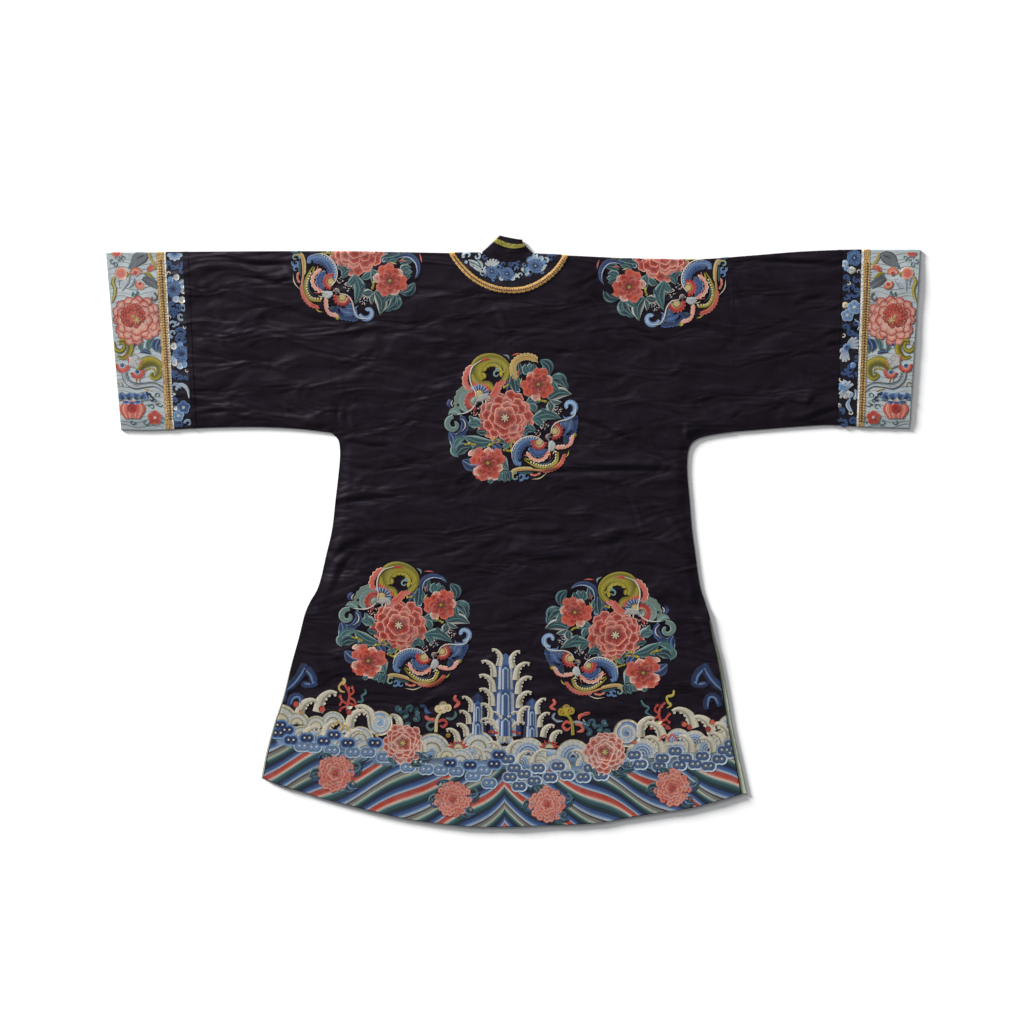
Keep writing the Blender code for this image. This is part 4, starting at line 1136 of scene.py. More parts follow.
def embroidery_silk(name, gloss=0.40):
    """Stitched silk floss: fine threads side by side, uneven in shade, with a soft shine."""
    look = bpy.data.materials.new(name)
    tree, shader = nodes_of(look)
    shade = add_node(tree, "ShaderNodeAttribute", attribute_name="thread")
    lie = add_node(tree, "ShaderNodeAttribute", attribute_name="grain")
    floss = add_node(tree, "ShaderNodeTexNoise", Scale=1.0, Detail=2.0, Roughness=0.6)
    tree.links.new(stretched(tree, lie.outputs["Vector"], (2.4, 0.22, 1.0)), floss.inputs["Vector"])
    where = add_node(tree, "ShaderNodeTexCoord").outputs["Object"]
    fade_and_sheen = add_node(tree, "ShaderNodeTexNoise", Scale=90.0, Detail=3.0, Roughness=0.6)
    tree.links.new(where, fade_and_sheen.inputs["Vector"])
    strands = ramp(tree, floss.outputs["Fac"], ((0.3, 0.62), (0.5, 0.95), (0.7, 1.22)))
    lit = add_node(tree, "ShaderNodeMix", data_type="RGBA", blend_type="MULTIPLY")
    lit.inputs[0].default_value = 1.0
    tree.links.new(shade.outputs["Color"], lit.inputs[6])
    tree.links.new(strands, lit.inputs[7])
    faded = add_node(tree, "ShaderNodeHueSaturation", Saturation=0.85, Value=0.92)
    tree.links.new(lit.outputs[2], faded.inputs["Color"])
    base = blend_colours(tree, ramp(tree, fade_and_sheen.outputs["Fac"], ((0.4, 0.0), (0.7, 1.0))), lit.outputs[2],
                         faded.outputs[0])
    tree.links.new(base, shader.inputs["Base Color"])
    tree.links.new(ramp(tree, floss.outputs["Fac"], ((0.3, gloss + 0.12), (0.7, gloss - 0.04))),
                   shader.inputs["Roughness"])
    shader.inputs["Sheen Weight"].default_value = 0.08
    shader.inputs["Specular IOR Level"].default_value = 0.4
    bump = add_node(tree, "ShaderNodeBump", Strength=0.5, Distance=0.0004)
    tree.links.new(floss.outputs["Fac"], bump.inputs["Height"])
    tree.links.new(bump.outputs[0], shader.inputs["Normal"])
    return look


floss_silk = embroidery_silk("embroidery_floss")


def slit_edge(side, y):
    """Side edge of the back below the sewn seam."""
    return smooth_through([(row[3], row[2]) for row in BODY_ROWS[side][:SEWN_ROW + 1]], y)


def between_slits(y):
    return slit_edge("left", y) + 1.2, slit_edge("right", y) - 1.2


def finish_needlework(work, name, cloth_top=0.5 * CLOTH, cut_at_fold=False, limits=None):
    """Lay the stitches over the cloth, cut them at its edges and fold and make the object."""
    bm = work.bm
    page = np.array([tuple(v.co) for v in bm.verts])
    if limits is not None:
        left, right = limits(page[:, 1])
        beyond = (page[:, 0] < left) | (page[:, 0] > right)
        page[:, 0] = np.clip(page[:, 0], left, right)
        for vert, x, over in zip(bm.verts, page[:, 0].tolist(), beyond.tolist()):
            if over:
                vert.co.x, vert.co.z = x, 0.05
            vert.tag = over
        bare = [f for f in bm.faces if all(v.tag for v in f.verts)]
        bmesh.ops.delete(bm, geom=bare, context="FACES")
        page = np.array([tuple(v.co) for v in bm.verts])
    along = length_at(page[:, 0], page[:, 1])
    for vert, s in zip(bm.verts, along.tolist()):
        vert.co.y = s
    if cut_at_fold:
        bmesh.ops.bisect_plane(bm, geom=bm.verts[:] + bm.edges[:] + bm.faces[:], dist=1e-5,
                               plane_co=(0.0, -1.2, 0.0), plane_no=(0.0, -1.0, 0.0), clear_outer=True)
    spots = np.array([tuple(v.co) for v in bm.verts])
    x, s = spots[:, 0], spots[:, 1]
    cloth_way = np.cross(place(x, s + 0.4, 0.0) - place(x, s - 0.4, 0.0),
                         place(x + 0.4, s, 0.0) - place(x - 0.4, s, 0.0))
    cloth_way /= np.linalg.norm(cloth_way, axis=1)[:, None]
    laid = place(x, s, cloth_top + spots[:, 2]) * 0.001
    for vert, spot in zip(bm.verts, laid.tolist()):
        vert.co = spot
    bm.normal_update()
    turned = [f for f in bm.faces if f.normal.z < 0.0]
    bmesh.ops.reverse_faces(bm, faces=turned)
    mesh = bpy.data.meshes.new(name)
    bm.to_mesh(mesh)
    bm.free()
    mesh.polygons.foreach_set("use_smooth", [True] * len(mesh.polygons))
    own = np.zeros(3 * len(mesh.vertices))
    mesh.vertex_normals.foreach_get("vector", own)
    facing = 0.35 * own.reshape(-1, 3) + 0.65 * cloth_way
    facing /= np.maximum(np.linalg.norm(facing, axis=1), 1e-9)[:, None]
    mesh.normals_split_custom_set_from_vertices(facing.tolist())
    mesh.materials.append(floss_silk)
    obj = bpy.data.objects.new(name, mesh)
    bpy.context.collection.objects.link(obj)
    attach(obj, "root")
    return obj


# Roundels
# Five round groups of peonies, leaves and two butterflies, all one traditional design: one at
# the centre back, one mirrored pair near the hem, and one on each shoulder, cut by its fold.
def small_peony(work, x, y, r, turn, layer=1.0):
    """Loose red peony with pink outer lobes round a yellow heart."""
    chance = random.Random(int(900 * (x - y)) + 3)
    for k, (count, reach, wide) in enumerate(((9, 1.0, 0.62), (7, 0.76, 0.5), (5, 0.5, 0.4))):
        for n in range(count):
            angle = turn + 360.0 * n / count + 23.0 * k + chance.uniform(-9.0, 9.0)
            a = math.radians(angle)
            rim, body = ("blush", "pink") if (n % 3 == 0 and k == 0) else (("salmon", "orange"),
                                                                           ("orange", "coral"),
                                                                           ("salmon", "coral"))[k]
            cupped_petal(work, x + 0.1 * r * math.cos(a), y + 0.1 * r * math.sin(a),
                         (reach - 0.1) * r * chance.uniform(0.84, 1.1), angle, wide * r, rim, body,
                         "red" if k == 0 else "rust", layer=layer + 0.7 * k)
    fan(work, x, y, 0.0, 0.13 * r, 0.0, 360.0, ((0.0, "olive"), (0.6, "yellow"), (1.0, "moss")), lobes=5,
        depth=0.2,
        steps=15, layer=layer + 2.6)


def upper_butterfly(work):
    """Butterfly with one olive wing, one grey-green wing and pink scalloped borders."""
    arc = [(-0.29 + 0.235 * math.cos(math.radians(a)), 0.70 + 0.205 * math.sin(math.radians(a)))
           for a in range(222, -61, -24)]
    strand(work, arc, 0.17, ("olive", "yellow", "olive", "moss", "yellow"),
           ("olive", "olive", "yellow", "olive", "olive"), swell=(0.9, 1.35, 1.0, 0.75, 0.5), steps=24)
    strand(work, ((-0.60, 0.66), (-0.55, 0.56), (-0.44, 0.50), (-0.34, 0.50), (-0.26, 0.41)), 0.16,
           ("olive", "olive", "yellow", "olive", "moss"), swell=(0.6, 1.0, 0.9, 0.8, 0.4), steps=14,
           layer=0.4)
    for angle, reach in ((150, 0.10), (118, 0.11), (88, 0.09), (60, 0.09), (28, 0.08), (-5, 0.07),
                         (200, 0.10)):
        a = math.radians(angle)
        x, y = -0.28 + 0.155 * math.cos(a), 0.685 + 0.145 * math.sin(a)
        fan(work, x, y, 0.0, 0.055, angle + 95.0, angle + 265.0,
            ((0.0, "yellow"), (0.6, "yellow"), (1.0, "olive")),
            lobes=1, steps=7, layer=0.8)
    strand(work, ((-0.11, 0.78), (-0.075, 0.74), (-0.10, 0.70), (-0.15, 0.72)), 0.045,
           ("yellow", "olive", "yellow"),
           layer=1.0, swell=(0.8, 1.0, 0.5))
    strand(work, ((-0.47, 0.84), (-0.40, 0.89), (-0.31, 0.895)), 0.05, ("coral", "red", "coral"), steps=8,
           layer=1.2)
    curl(work, -0.215, 0.665, 0.06, 0.9, 60.0, 0.03, ("mint", "sea", "mint"), layer=0.4)
    strand(work, ((-0.245, 0.72), (-0.20, 0.76), (-0.165, 0.74)), 0.03, ("mint",), layer=0.6)
    for k in range(8):
        t = k / 7.0
        x, y = -0.58 + 0.24 * t, 0.475 - 0.055 * t + 0.02 * math.sin(3.1 * t)
        strand(work, ((x, y - 0.015), (x - 0.02 + 0.035 * t, y + 0.085)), 0.045,
               ("coral", "orange", "coral"),
               swell=(1.0, 0.8, 0.1), steps=4, layer=1.0)
    fan(work, -0.485, 0.355, 0.06, 0.165, -8.0, 148.0,
        ((0.0, "navy"), (0.35, "indigo"), (0.75, "blue"), (1.0, "sky")), lobes=7, depth=0.1, steps=21,
        layer=1.4)
    for a in range(8, 145, 22):
        c, s = math.cos(math.radians(a)), math.sin(math.radians(a))
        strand(work, ((-0.485 + 0.075 * c, 0.355 + 0.075 * s), (-0.485 + 0.15 * c, 0.355 + 0.15 * s)),
               0.014,
               ("ice",), swell=(0.5, 1.0, 0.8), steps=3, rise=0.2, layer=2.6)
    fan(work, -0.48, 0.365, 0.0, 0.06, 0.0, 360.0, ((0.0, "butter"), (0.6, "butter"), (1.0, "gold")),
        layer=2.4)
    lobes_along(work, ((-0.335, 0.315), (-0.26, 0.36), (-0.215, 0.44), (-0.20, 0.52), (-0.13, 0.56)), 6,
                0.068,
                "pink", "salmon", "coral", -1.0, layer=1.2)
    strand(work, ((-0.32, 0.33), (-0.24, 0.42), (-0.20, 0.54)), 0.09, ("salmon", "salmon", "coral"),
           layer=1.0,
           swell=(0.5, 1.0, 0.5))
    lobes_along(work, ((-0.61, 0.75), (-0.665, 0.64), (-0.67, 0.54), (-0.62, 0.45)), 5, 0.075,
                "pink", "salmon", "coral", -1.0, layer=0.8)
    strand(work, ((-0.45, 0.88), (-0.585, 0.78), (-0.625, 0.66), (-0.60, 0.50), (-0.545, 0.40),
                  (-0.525, 0.30)),
           0.022, ("white",), swell=(0.5, 1.0, 1.0, 0.8), steps=18, rise=0.4, layer=3.0)
    lobes_along(work, ((-0.60, 0.42), (-0.74, 0.40), (-0.80, 0.26), (-0.80, 0.12), (-0.86, 0.06)), 7, 0.075,
                "sage", "sage", "sea", -1.0, layer=0.4)
    strand(work, ((-0.60, 0.40), (-0.73, 0.33), (-0.74, 0.18), (-0.66, 0.10)), 0.14,
           ("sage", "sea", "sage"),
           ("sage", "mint", "sage"), swell=(0.6, 1.0, 1.0, 0.4), layer=0.6)
    eyespot(work, -0.555, 0.255, 0.17, 175.0, sweep=215.0, rays="red", tips="coral", layer=1.6)
    fan(work, -0.55, 0.255, 0.0, 0.06, 0.0, 360.0, ((0.0, "sage"), (1.0, "grey")), layer=3.2)
    strand(work, ((-0.53, 0.24), (-0.57, 0.16), (-0.66, 0.09), (-0.82, 0.05)), 0.022, ("white",),
           swell=(0.6, 1.0, 0.5), steps=12, rise=0.4, layer=3.0)
    strand(work, ((-0.53, 0.26), (-0.45, 0.30), (-0.38, 0.33), (-0.31, 0.29)), 0.10,
           ("white", "grey", "white"),
           ("grey", "white", "grey"), swell=(0.5, 1.0, 0.9, 0.3), layer=3.0)
    for x, y in ((-0.44, 0.22), (-0.39, 0.235)):
        strand(work, ((x, y + 0.05), (x + 0.02, y - 0.02)), 0.025, ("white",), steps=3, layer=3.0)
    fan(work, -0.915, 0.22, 0.0, 0.07, 90.0, 290.0, ((0.0, "navy"), (1.0, "indigo")), lobes=3, depth=0.1)
    strand(work, ((-0.885, 0.28), (-0.91, 0.22), (-0.88, 0.16)), 0.02, ("white",), steps=6, layer=1.4)
    fan(work, -0.81, 0.20, 0.0, 0.022, 0.0, 360.0, ((0.0, "ivy"), (1.0, "black")), layer=2.4)
    strand(work, ((-0.96, 0.04), (-0.90, 0.10), (-0.80, 0.08), (-0.74, 0.02)), 0.12,
           ("sage", "sea", "mint"), layer=0.4)
    curl(work, -0.87, -0.10, 0.125, 0.95, 95.0, 0.085, ("mint", "sage", "sea", "sage", "mint"), layer=1.0,
         swell=(0.8, 1.1, 0.9, 0.6))
    lobes_along(work, ((-0.77, 0.0), (-0.70, -0.10), (-0.74, -0.22), (-0.84, -0.28)), 5, 0.06, "blue",
                "indigo",
                "navy", 1.0)
    strand(work, ((-0.80, 0.0), (-0.72, -0.08), (-0.73, -0.19), (-0.86, -0.27)), 0.11,
           ("blue", "indigo", "navy"),
           layer=0.6)
    strand(work, ((-0.79, 0.015), (-0.71, -0.05), (-0.695, -0.13), (-0.76, -0.225)), 0.02, ("white",),
           steps=10,
           rise=0.4, layer=2.6)


def lower_butterfly(work):
    """Butterfly with blue scalloped wings, pink borders and curling tails."""
    strand(work, ((0.39, -0.335), (0.22, -0.355), (0.105, -0.45), (0.065, -0.58), (0.09, -0.69),
                  (0.155, -0.70)),
           0.115, ("sky", "sky", "blue", "indigo", "blue"), ("sky", "blue", "sky", "blue", "sky"),
           swell=(0.5, 1.2, 1.0, 0.85, 0.8, 0.5), steps=20, layer=0.4)
    lobes_along(work, ((0.36, -0.42), (0.24, -0.44), (0.175, -0.52), (0.15, -0.62)), 5, 0.045, "blue",
                "indigo",
                "navy", -1.0, layer=0.2)
    strand(work, ((0.02, -0.62), (0.02, -0.48), (0.12, -0.345), (0.27, -0.28), (0.40, -0.295),
                  (0.49, -0.36)),
           0.02, ("white",), steps=18, rise=0.4, layer=2.6, swell=(0.5, 1.0, 1.0, 0.8))
    beads(work, ((0.035, -0.50), (0.125, -0.365), (0.27, -0.30), (0.39, -0.31)), 12, 0.011,
          ("ice", "white"), layer=3.0)
    fan(work, 0.42, -0.45, 0.02, 0.16, 180.0, 350.0, ((0.0, "indigo"), (0.5, "blue"), (0.85, "indigo"),
                                                      (1.0, "sky")),
        lobes=6, depth=0.14, steps=24, layer=0.8)
    lobes_along(work, ((0.27, -0.53), (0.33, -0.60), (0.42, -0.63), (0.50, -0.60), (0.56, -0.51)), 7, 0.05,
                "blush", "pink", "salmon", -1.0, layer=1.2)
    eyespot(work, 0.43, -0.37, 0.135, 262.0, sweep=200.0, rays="red", tips="orange", layer=1.8)
    for n in range(4):
        strand(work, ((0.70 + 0.07 * n, -0.06 + 0.012 * n), (0.745 + 0.065 * n, -0.15 - 0.01 * n)), 0.08,
               ("sky", "slate", "blue"), ("blue", "indigo", "blue"), swell=(0.5, 1.0, 0.6), steps=6,
               layer=0.3 + 0.1 * n)
    lobes_along(work, ((0.97, 0.0), (0.955, -0.12), (0.93, -0.22), (0.86, -0.30)), 6, 0.062, "blue",
                "indigo", "navy",
                1.0, layer=0.4)
    strand(work, ((0.93, 0.02), (0.90, -0.10), (0.86, -0.20), (0.80, -0.26)), 0.13,
           ("indigo", "blue", "sky"),
           ("navy", "indigo", "blue"), layer=0.5)
    fan(work, 0.80, -0.36, 0.0, 0.115, -70.0, 95.0, ((0.0, "teal"), (0.5, "navy"), (0.85, "indigo"),
                                                     (1.0, "blue")),
        lobes=5, depth=0.14, steps=20, layer=0.9)
    lobes_along(work, ((0.955, -0.30), (0.92, -0.40), (0.83, -0.455), (0.70, -0.47)), 7, 0.055,
                "blush", "pink", "salmon", -1.0, layer=1.0)
    eyespot(work, 0.665, -0.20, 0.145, -8.0, sweep=205.0, rays="red", tips="orange", layer=1.8)
    strand(work, ((0.985, 0.14), (0.975, 0.05), (0.87, -0.02), (0.73, -0.055), (0.635, -0.13),
                  (0.61, -0.235)),
           0.02, ("white",), steps=18, rise=0.4, layer=2.6, swell=(0.5, 1.0, 1.0, 0.7))
    curl(work, 0.885, 0.17, 0.12, 0.8, -75.0, 0.08, ("sky", "sky", "ice", "sky", "blue"), layer=1.2,
         swell=(0.7, 1.1, 1.0, 0.8))
    strand(work, ((0.985, 0.10), (0.94, 0.01), (0.83, -0.01), (0.79, 0.045)), 0.07, ("blue", "sky", "blue"),
           layer=0.8)
    fan(work, 0.965, -0.265, 0.0, 0.04, 0.0, 360.0, ((0.0, "yellow"), (1.0, "olive")), layer=0.6)
    strand(work, ((0.60, -0.35), (0.625, -0.42), (0.60, -0.50)), 0.115, ("white", "ice", "white"),
           ("grey", "white", "grey"), swell=(0.5, 1.1, 0.6), layer=2.8)
    strand(work, ((0.59, -0.36), (0.55, -0.28), (0.62, -0.235)), 0.05, ("pink", "sage", "grey"), layer=2.4)
    strand(work, ((0.53, -0.33), (0.60, -0.29), (0.655, -0.31)), 0.035, ("rust", "slate", "rust"),
           layer=2.7)
    strand(work, ((0.66, -0.47), (0.655, -0.53), (0.63, -0.56)), 0.02, ("cream",), steps=5, layer=2.0)
    olive_arc = ((0.20, -0.635), (0.30, -0.70), (0.45, -0.755), (0.60, -0.74), (0.70, -0.66),
                 (0.715, -0.52))
    strand(work, olive_arc, 0.055, ("moss", "olive", "yellow", "olive", "moss"), swell=(0.2, 0.8, 1.0, 0.8),
           steps=20,
           layer=0.6)
    beads(work, olive_arc[1:], 15, 0.017, ("cream", "butter"), side=0.028, layer=1.2)
    strand(work, ((0.32, -0.665), (0.43, -0.705), (0.57, -0.69), (0.655, -0.60)), 0.028,
           ("teal", "ivy", "teal"),
           steps=10, layer=0.6)
    tail = ((0.03, -0.90), (0.035, -0.82), (0.12, -0.79), (0.30, -0.785), (0.50, -0.80), (0.66, -0.765),
            (0.76, -0.68), (0.81, -0.56))
    strand(work, tail, 0.05, ("gold", "butter", "ochre"), ("coral", "salmon", "red"),
           swell=(0.5, 1.0, 0.7, 0.7, 0.9, 1.0, 0.8),
           steps=26, layer=1.0)
    lobes_along(work, tail[1:4], 9, 0.04, "butter", "butter", "gold", 1.0, layer=0.8)
    lobes_along(work, tail[4:], 9, 0.042, "salmon", "coral", "red", -1.0, layer=0.8)
    strand(work, ((0.30, -0.935), (0.44, -0.92), (0.56, -0.825)), 0.017, ("cream",), steps=9)
    strand(work, ((0.885, -0.49), (0.87, -0.56), (0.82, -0.61)), 0.022, ("yellow",), steps=7)
    strand(work, ((0.19, -0.565), (0.24, -0.575), (0.28, -0.57)), 0.022, ("salmon",), steps=5, layer=1.0)
    strand(work, ((0.46, -0.60), (0.59, -0.53), (0.595, -0.65)), 0.022, ("salmon",), steps=7, layer=1.4)
    strand(work, ((0.20, -0.61), (0.27, -0.635), (0.34, -0.64)), 0.03, ("olive", "yellow", "olive"),
           steps=5, layer=1.4)
    curl(work, 0.075, -0.90, 0.065, 0.9, 80.0, 0.035, ("sea", "mint", "sea"))
    curl(work, 0.15, -0.895, 0.06, 0.9, 250.0, 0.04, ("blue", "sky", "blue"))
    curl(work, 0.245, -0.895, 0.06, 0.9, 60.0, 0.04, ("indigo", "sky", "blue"))
    strand(work, ((0.08, -0.835), (0.22, -0.84), (0.36, -0.825)), 0.05, ("ivy", "teal", "ivy"), steps=8,
           layer=0.4)
    lobes_along(work, ((0.30, -0.85), (0.37, -0.86), (0.44, -0.83)), 3, 0.03, "pink", "salmon", "coral",
                -1.0)


def roundel(work, tail="gold"):
    """The whole round design in units of its own radius."""
    for args in (
        (-0.65, -0.10, -0.44, -0.14, 0.16, "mist", 0.2), (-0.70, -0.29, -0.26, -0.36, 0.17, "teal", -0.12),
        (-0.89, -0.46, -0.68, -0.30, 0.17, "mist", 0.25), (-0.86, -0.40, -0.80, -0.60, 0.10, "mist", -0.2),
        (-0.83, -0.56, -0.61, -0.45, 0.16, "dark", 0.2), (-0.74, -0.65, -0.44, -0.70, 0.17, "navy", -0.15),
        (-0.30, -0.40, -0.23, -0.60, 0.13, "navy", 0.3), (-0.27, -0.36, -0.06, -0.42, 0.13, "dark", 0.35),
        (-0.13, -0.44, -0.02, -0.36, 0.08, "mist", -0.2), (-0.19, -0.53, -0.035, -0.80, 0.17, "mist", -0.1),
        (-0.16, -0.83, -0.20, -0.96, 0.11, "mist", 0.1), (-0.11, -0.81, -0.10, -0.985, 0.12, "teal", 0.1),
        (-0.05, -0.80, -0.02, -0.97, 0.10, "dark", 0.1), (-0.11, -0.28, -0.10, -0.40, 0.09, "mist", 0.1),
        (0.14, -0.20, 0.22, -0.30, 0.09, "mist", 0.2), (0.24, 0.24, 0.48, 0.25, 0.13, "teal", 0.15),
        (0.28, 0.21, 0.38, 0.07, 0.10, "teal", 0.15), (0.32, -0.02, 0.77, -0.01, 0.155, "teal", 0.16),
        (0.25, -0.06, 0.39, -0.19, 0.12, "teal", -0.2), (0.34, -0.03, 0.49, -0.15, 0.11, "teal", 0.2),
        (0.02, 0.67, 0.075, 0.37, 0.17, "dark", 0.05), (-0.06, 0.42, 0.0, 0.56, 0.07, "navy", 0.1),
        (0.285, 0.66, 0.22, 0.83, 0.12, "teal", 0.15), (0.285, 0.66, 0.35, 0.83, 0.12, "dark", -0.15),
        (0.29, 0.65, 0.285, 0.85, 0.11, "mist", 0.0), (0.45, 0.88, 0.60, 0.65, 0.14, "dark", 0.2),
        (0.50, 0.80, 0.62, 0.62, 0.09, "teal", -0.2), (0.61, 0.61, 0.84, 0.47, 0.17, "dark", 0.2),
        (0.64, 0.55, 0.76, 0.40, 0.11, "teal", -0.2), (0.74, 0.56, 0.87, 0.41, 0.08, "dark", 0.15),
        (0.42, 0.45, 0.59, 0.28, 0.17, "pale", 0.25), (0.57, 0.28, 0.93, 0.36, 0.16, "pale", 0.18),
        (0.58, 0.25, 0.60, 0.09, 0.12, "pale", 0.1), (0.60, 0.27, 0.78, 0.24, 0.07, "pale", -0.1),
        (-0.64, 0.03, -0.60, -0.08, 0.06, "mist", 0.2), (-0.52, -0.22, -0.34, -0.26, 0.12, "dark", 0.2),
        (0.10, 0.62, 0.16, 0.46, 0.12, "teal", -0.2), (0.20, -0.24, 0.32, -0.16, 0.10, "dark", 0.2),
        (-0.60, -0.52, -0.44, -0.50, 0.12, "dark", 0.2), (0.16, 0.66, 0.13, 0.86, 0.11, "dark", 0.15),
        (-0.28, -0.92, -0.36, -0.98, 0.08, "teal", 0.1), (0.46, 0.14, 0.62, 0.08, 0.10, "dark", -0.2),
        (-0.94, -0.22, -0.90, -0.44, 0.13, "navy", 0.2), (0.66, 0.62, 0.80, 0.60, 0.11, "mist", 0.1),
    ):
        leaf(work, *args)
    for path in (
        ((-0.71, -0.41), (-0.63, -0.39), (-0.54, -0.41)), ((-0.36, -0.44), (-0.32, -0.41), (-0.26, -0.38)),
        ((0.03, -0.33), (0.0, -0.42), (0.01, -0.50), (-0.10, -0.49)), ((-0.25, -0.31), (-0.17, -0.35)),
        ((0.44, 0.27), (0.53, 0.25)), ((-0.10, 0.47), (-0.04, 0.50)),
    ):
        strand(work, path, 0.035, ("moss", "yellow", "olive"), swell=(0.8, 1.0, 1.0), steps=6, layer=0.8)
        beads(work, path[-2:], 2, 0.024, ("yellow", "olive"), layer=1.2)
    peony(work, -0.09, 0.0, 0.405, body="coral", rim="pink", heart="rust", turn=8.0)
    small_peony(work, 0.42, 0.51, 0.235, 20.0)
    small_peony(work, -0.35, -0.69, 0.245, 95.0)
    petal(work, -0.28, -0.80, 0.16, -95.0, 50.0, 0.0, "blush", "pink", "salmon", layer=0.4)
    petal(work, -0.44, -0.80, 0.15, -140.0, 40.0, 0.0, "coral", "coral", "red", layer=0.2)
    petal(work, -0.54, -0.58, 0.12, 120.0, 60.0, 0.0, "blush", "pink", "salmon", layer=0.4)
    upper_butterfly(work)
    lower_butterfly(work)
    hook = ((0.07, 0.60), (0.035, 0.70), (0.04, 0.82), (0.13, 0.91), (0.27, 0.935), (0.37, 0.90),
            (0.41, 0.84))
    if tail == "gold":
        strand(work, hook, 0.075, ("gold", "butter", "gold"), ("butter", "gold", "ochre"),
               swell=(0.6, 1.0, 1.1, 1.0, 0.8, 0.2), steps=22, layer=0.6)
        lobes_along(work, hook[:6], 13, 0.055, "butter", "gold", "ochre", -1.0, layer=0.4)
        lobes_along(work, hook[:6], 13, 0.055, "butter", "gold", "ochre", 1.0, layer=0.4)
    else:
        strand(work, hook[:6], 0.075, ("navy", "indigo", "navy"), ("navy", "blue", "indigo"),
               swell=(0.6, 1.0, 1.1, 1.0, 0.5), steps=20, layer=0.6)
        strand(work, [(x + 0.03, y - 0.02) for x, y in hook[:6]], 0.018, ("ice",), steps=14, layer=2.4)
    strand(work, ((0.0, 0.945), (0.09, 0.975), (0.16, 0.985)), 0.026, ("salmon", "coral", "salmon"),
           steps=6)
    strand(work, ((-0.12, 0.965), (-0.04, 0.935), (-0.025, 0.88)), 0.03, ("mint", "sea", "mint"), steps=7)
    strand(work, ((0.14, 0.76), (0.11, 0.70), (0.135, 0.63)), 0.028, ("coral", "salmon", "coral"), steps=7,
           layer=0.6)
    strand(work, ((0.17, 0.62), (0.15, 0.55), (0.12, 0.49)), 0.022, ("butter",), steps=6)
    strand(work, ((-0.08, 0.60), (-0.06, 0.56), (-0.03, 0.57)), 0.024, ("coral",), steps=5)
    curl(work, 0.115, 0.425, 0.045, 0.9, 120.0, 0.025, ("sky", "ice", "sky"))
    for x, y, r, count in ((-0.54, 0.12, 0.085, 26), (0.71, 0.14, 0.08, 22), (0.51, -0.12, 0.075, 22),
                           (0.41, -0.235, 0.05, 12)):
        seeds(work, x, y, r, count)


cloth_pieces = {"left": [], "right": []}
for name, x, y, radius, turn, mirror, squash, tail, cut, side in (
    ("centre_back", -3.6, 203.4, 118.0, 0.0, False, 1.0, "gold", False, "left"),
    ("lower_left", -195.3, -172.8, 118.5, -18.0, False, 0.94, "navy", False, "left"),
    ("lower_right", 173.9, -189.9, 118.5, -14.0, True, 0.94, "navy", False, "right"),
    ("shoulder_left", -282.6, 500.4, 120.5, -90.0, False, 1.0, "navy", True, "left"),
    ("shoulder_right", 270.0, 489.6, 120.5, -90.0, True, 1.0, "navy", True, "right"),
):
    work = Needlework()
    work.lay(x, y, radius, turn=turn, mirror=mirror, squash=squash)
    roundel(work, tail)
    cloth_pieces[side].append(finish_needlework(work, "roundel_" + name, cut_at_fold=cut))

# Hem border
# Standing-water stripes in shaded bands, a row of cloud heads, rolling waves with foam, and
# over them mountains, rocks, coral, sceptres and peonies, all traditional.
# Its layout is in pixels of the photo, across and down; the stripes rise to the centre seam.
PHOTO_PIXEL = 1.8
HEM_CORNER = (-923.4, 955.8)


def hem_depth(x):
    """Hem edge, in photo pixels down, under a pixel across."""
    return 531.0 - smooth_through(HEM_EDGE, (x - 513.0) * PHOTO_PIXEL) / PHOTO_PIXEL


CLOUD_LINE = ((262.0, 738.0), (330.0, 752.0), (400.0, 766.0), (450.0, 772.0), (504.0, 776.0),
              (560.0, 774.0), (640.0, 762.0), (700.0, 756.0), (745.0, 742.0))


def stripe_depth(side, c, x):
    away = np.abs(x - 504.0)
    if side == "left":
        return (c + 0.50 * away + 9.0 * (1.0 - np.exp(-away / 12.0))
                + 2.7 * np.sin(x / 16.0 + c / 40.0) * eased(away / 40.0))
    return (c + 0.53 * away + 9.0 * (1.0 - np.exp(-away / 12.0))
            + 3.2 * np.sin(x / 13.5 - c / 26.0) * eased(away / 40.0))


def stripe(work, side, c0, c1, tones, layer=0.0):
    """One shaded band of the standing water, from the hem up to the clouds."""
    shares = np.array((0.0, 0.06, 0.35, 0.65, 0.94, 1.0))
    xs = np.linspace(262.0, 504.0, 243) if side == "left" else np.linspace(504.0, 748.0, 245)
    ends = []
    for c in c0 + (c1 - c0) * shares:
        y = stripe_depth(side, c, xs)
        edge = slit_edge(side, (531.0 - y) * 1.8) / 1.8 + 513.0
        inside = (y < hem_depth(xs) - 0.2) & (y > smooth_through(CLOUD_LINE, xs) - 10.0)
        inside &= (xs > edge + 0.4) if side == "left" else (xs < edge - 0.4)
        if inside.sum() < 2 and not ends:
            return
        ends.append(ends[-1] if inside.sum() < 2 else (xs[inside].min(), xs[inside].max()))
    ends = np.array(ends)
    paint = np.array([tone(tones[k], 0.88) for k in (0, 0, 1, 2, 2, 2)])
    steps = int(max(4, (ends[:, 1] - ends[:, 0]).max() / 4.5))
    lift = np.array((0.0, 0.1, 0.17, 0.17, 0.1, 0.0))

    def form(u, v):
        k = np.rint(u * 5).astype(int)
        x = ends[k, 0] + (ends[k, 1] - ends[k, 0]) * v
        y = np.minimum(stripe_depth(side, (c0 + (c1 - c0) * shares)[k], x), hem_depth(x) - 0.2)
        return np.stack((x, y), axis=1), 0.32 + lift[k], paint[k], np.stack((x, 6.0 * u), axis=1)

    work.patch(5, steps, form)


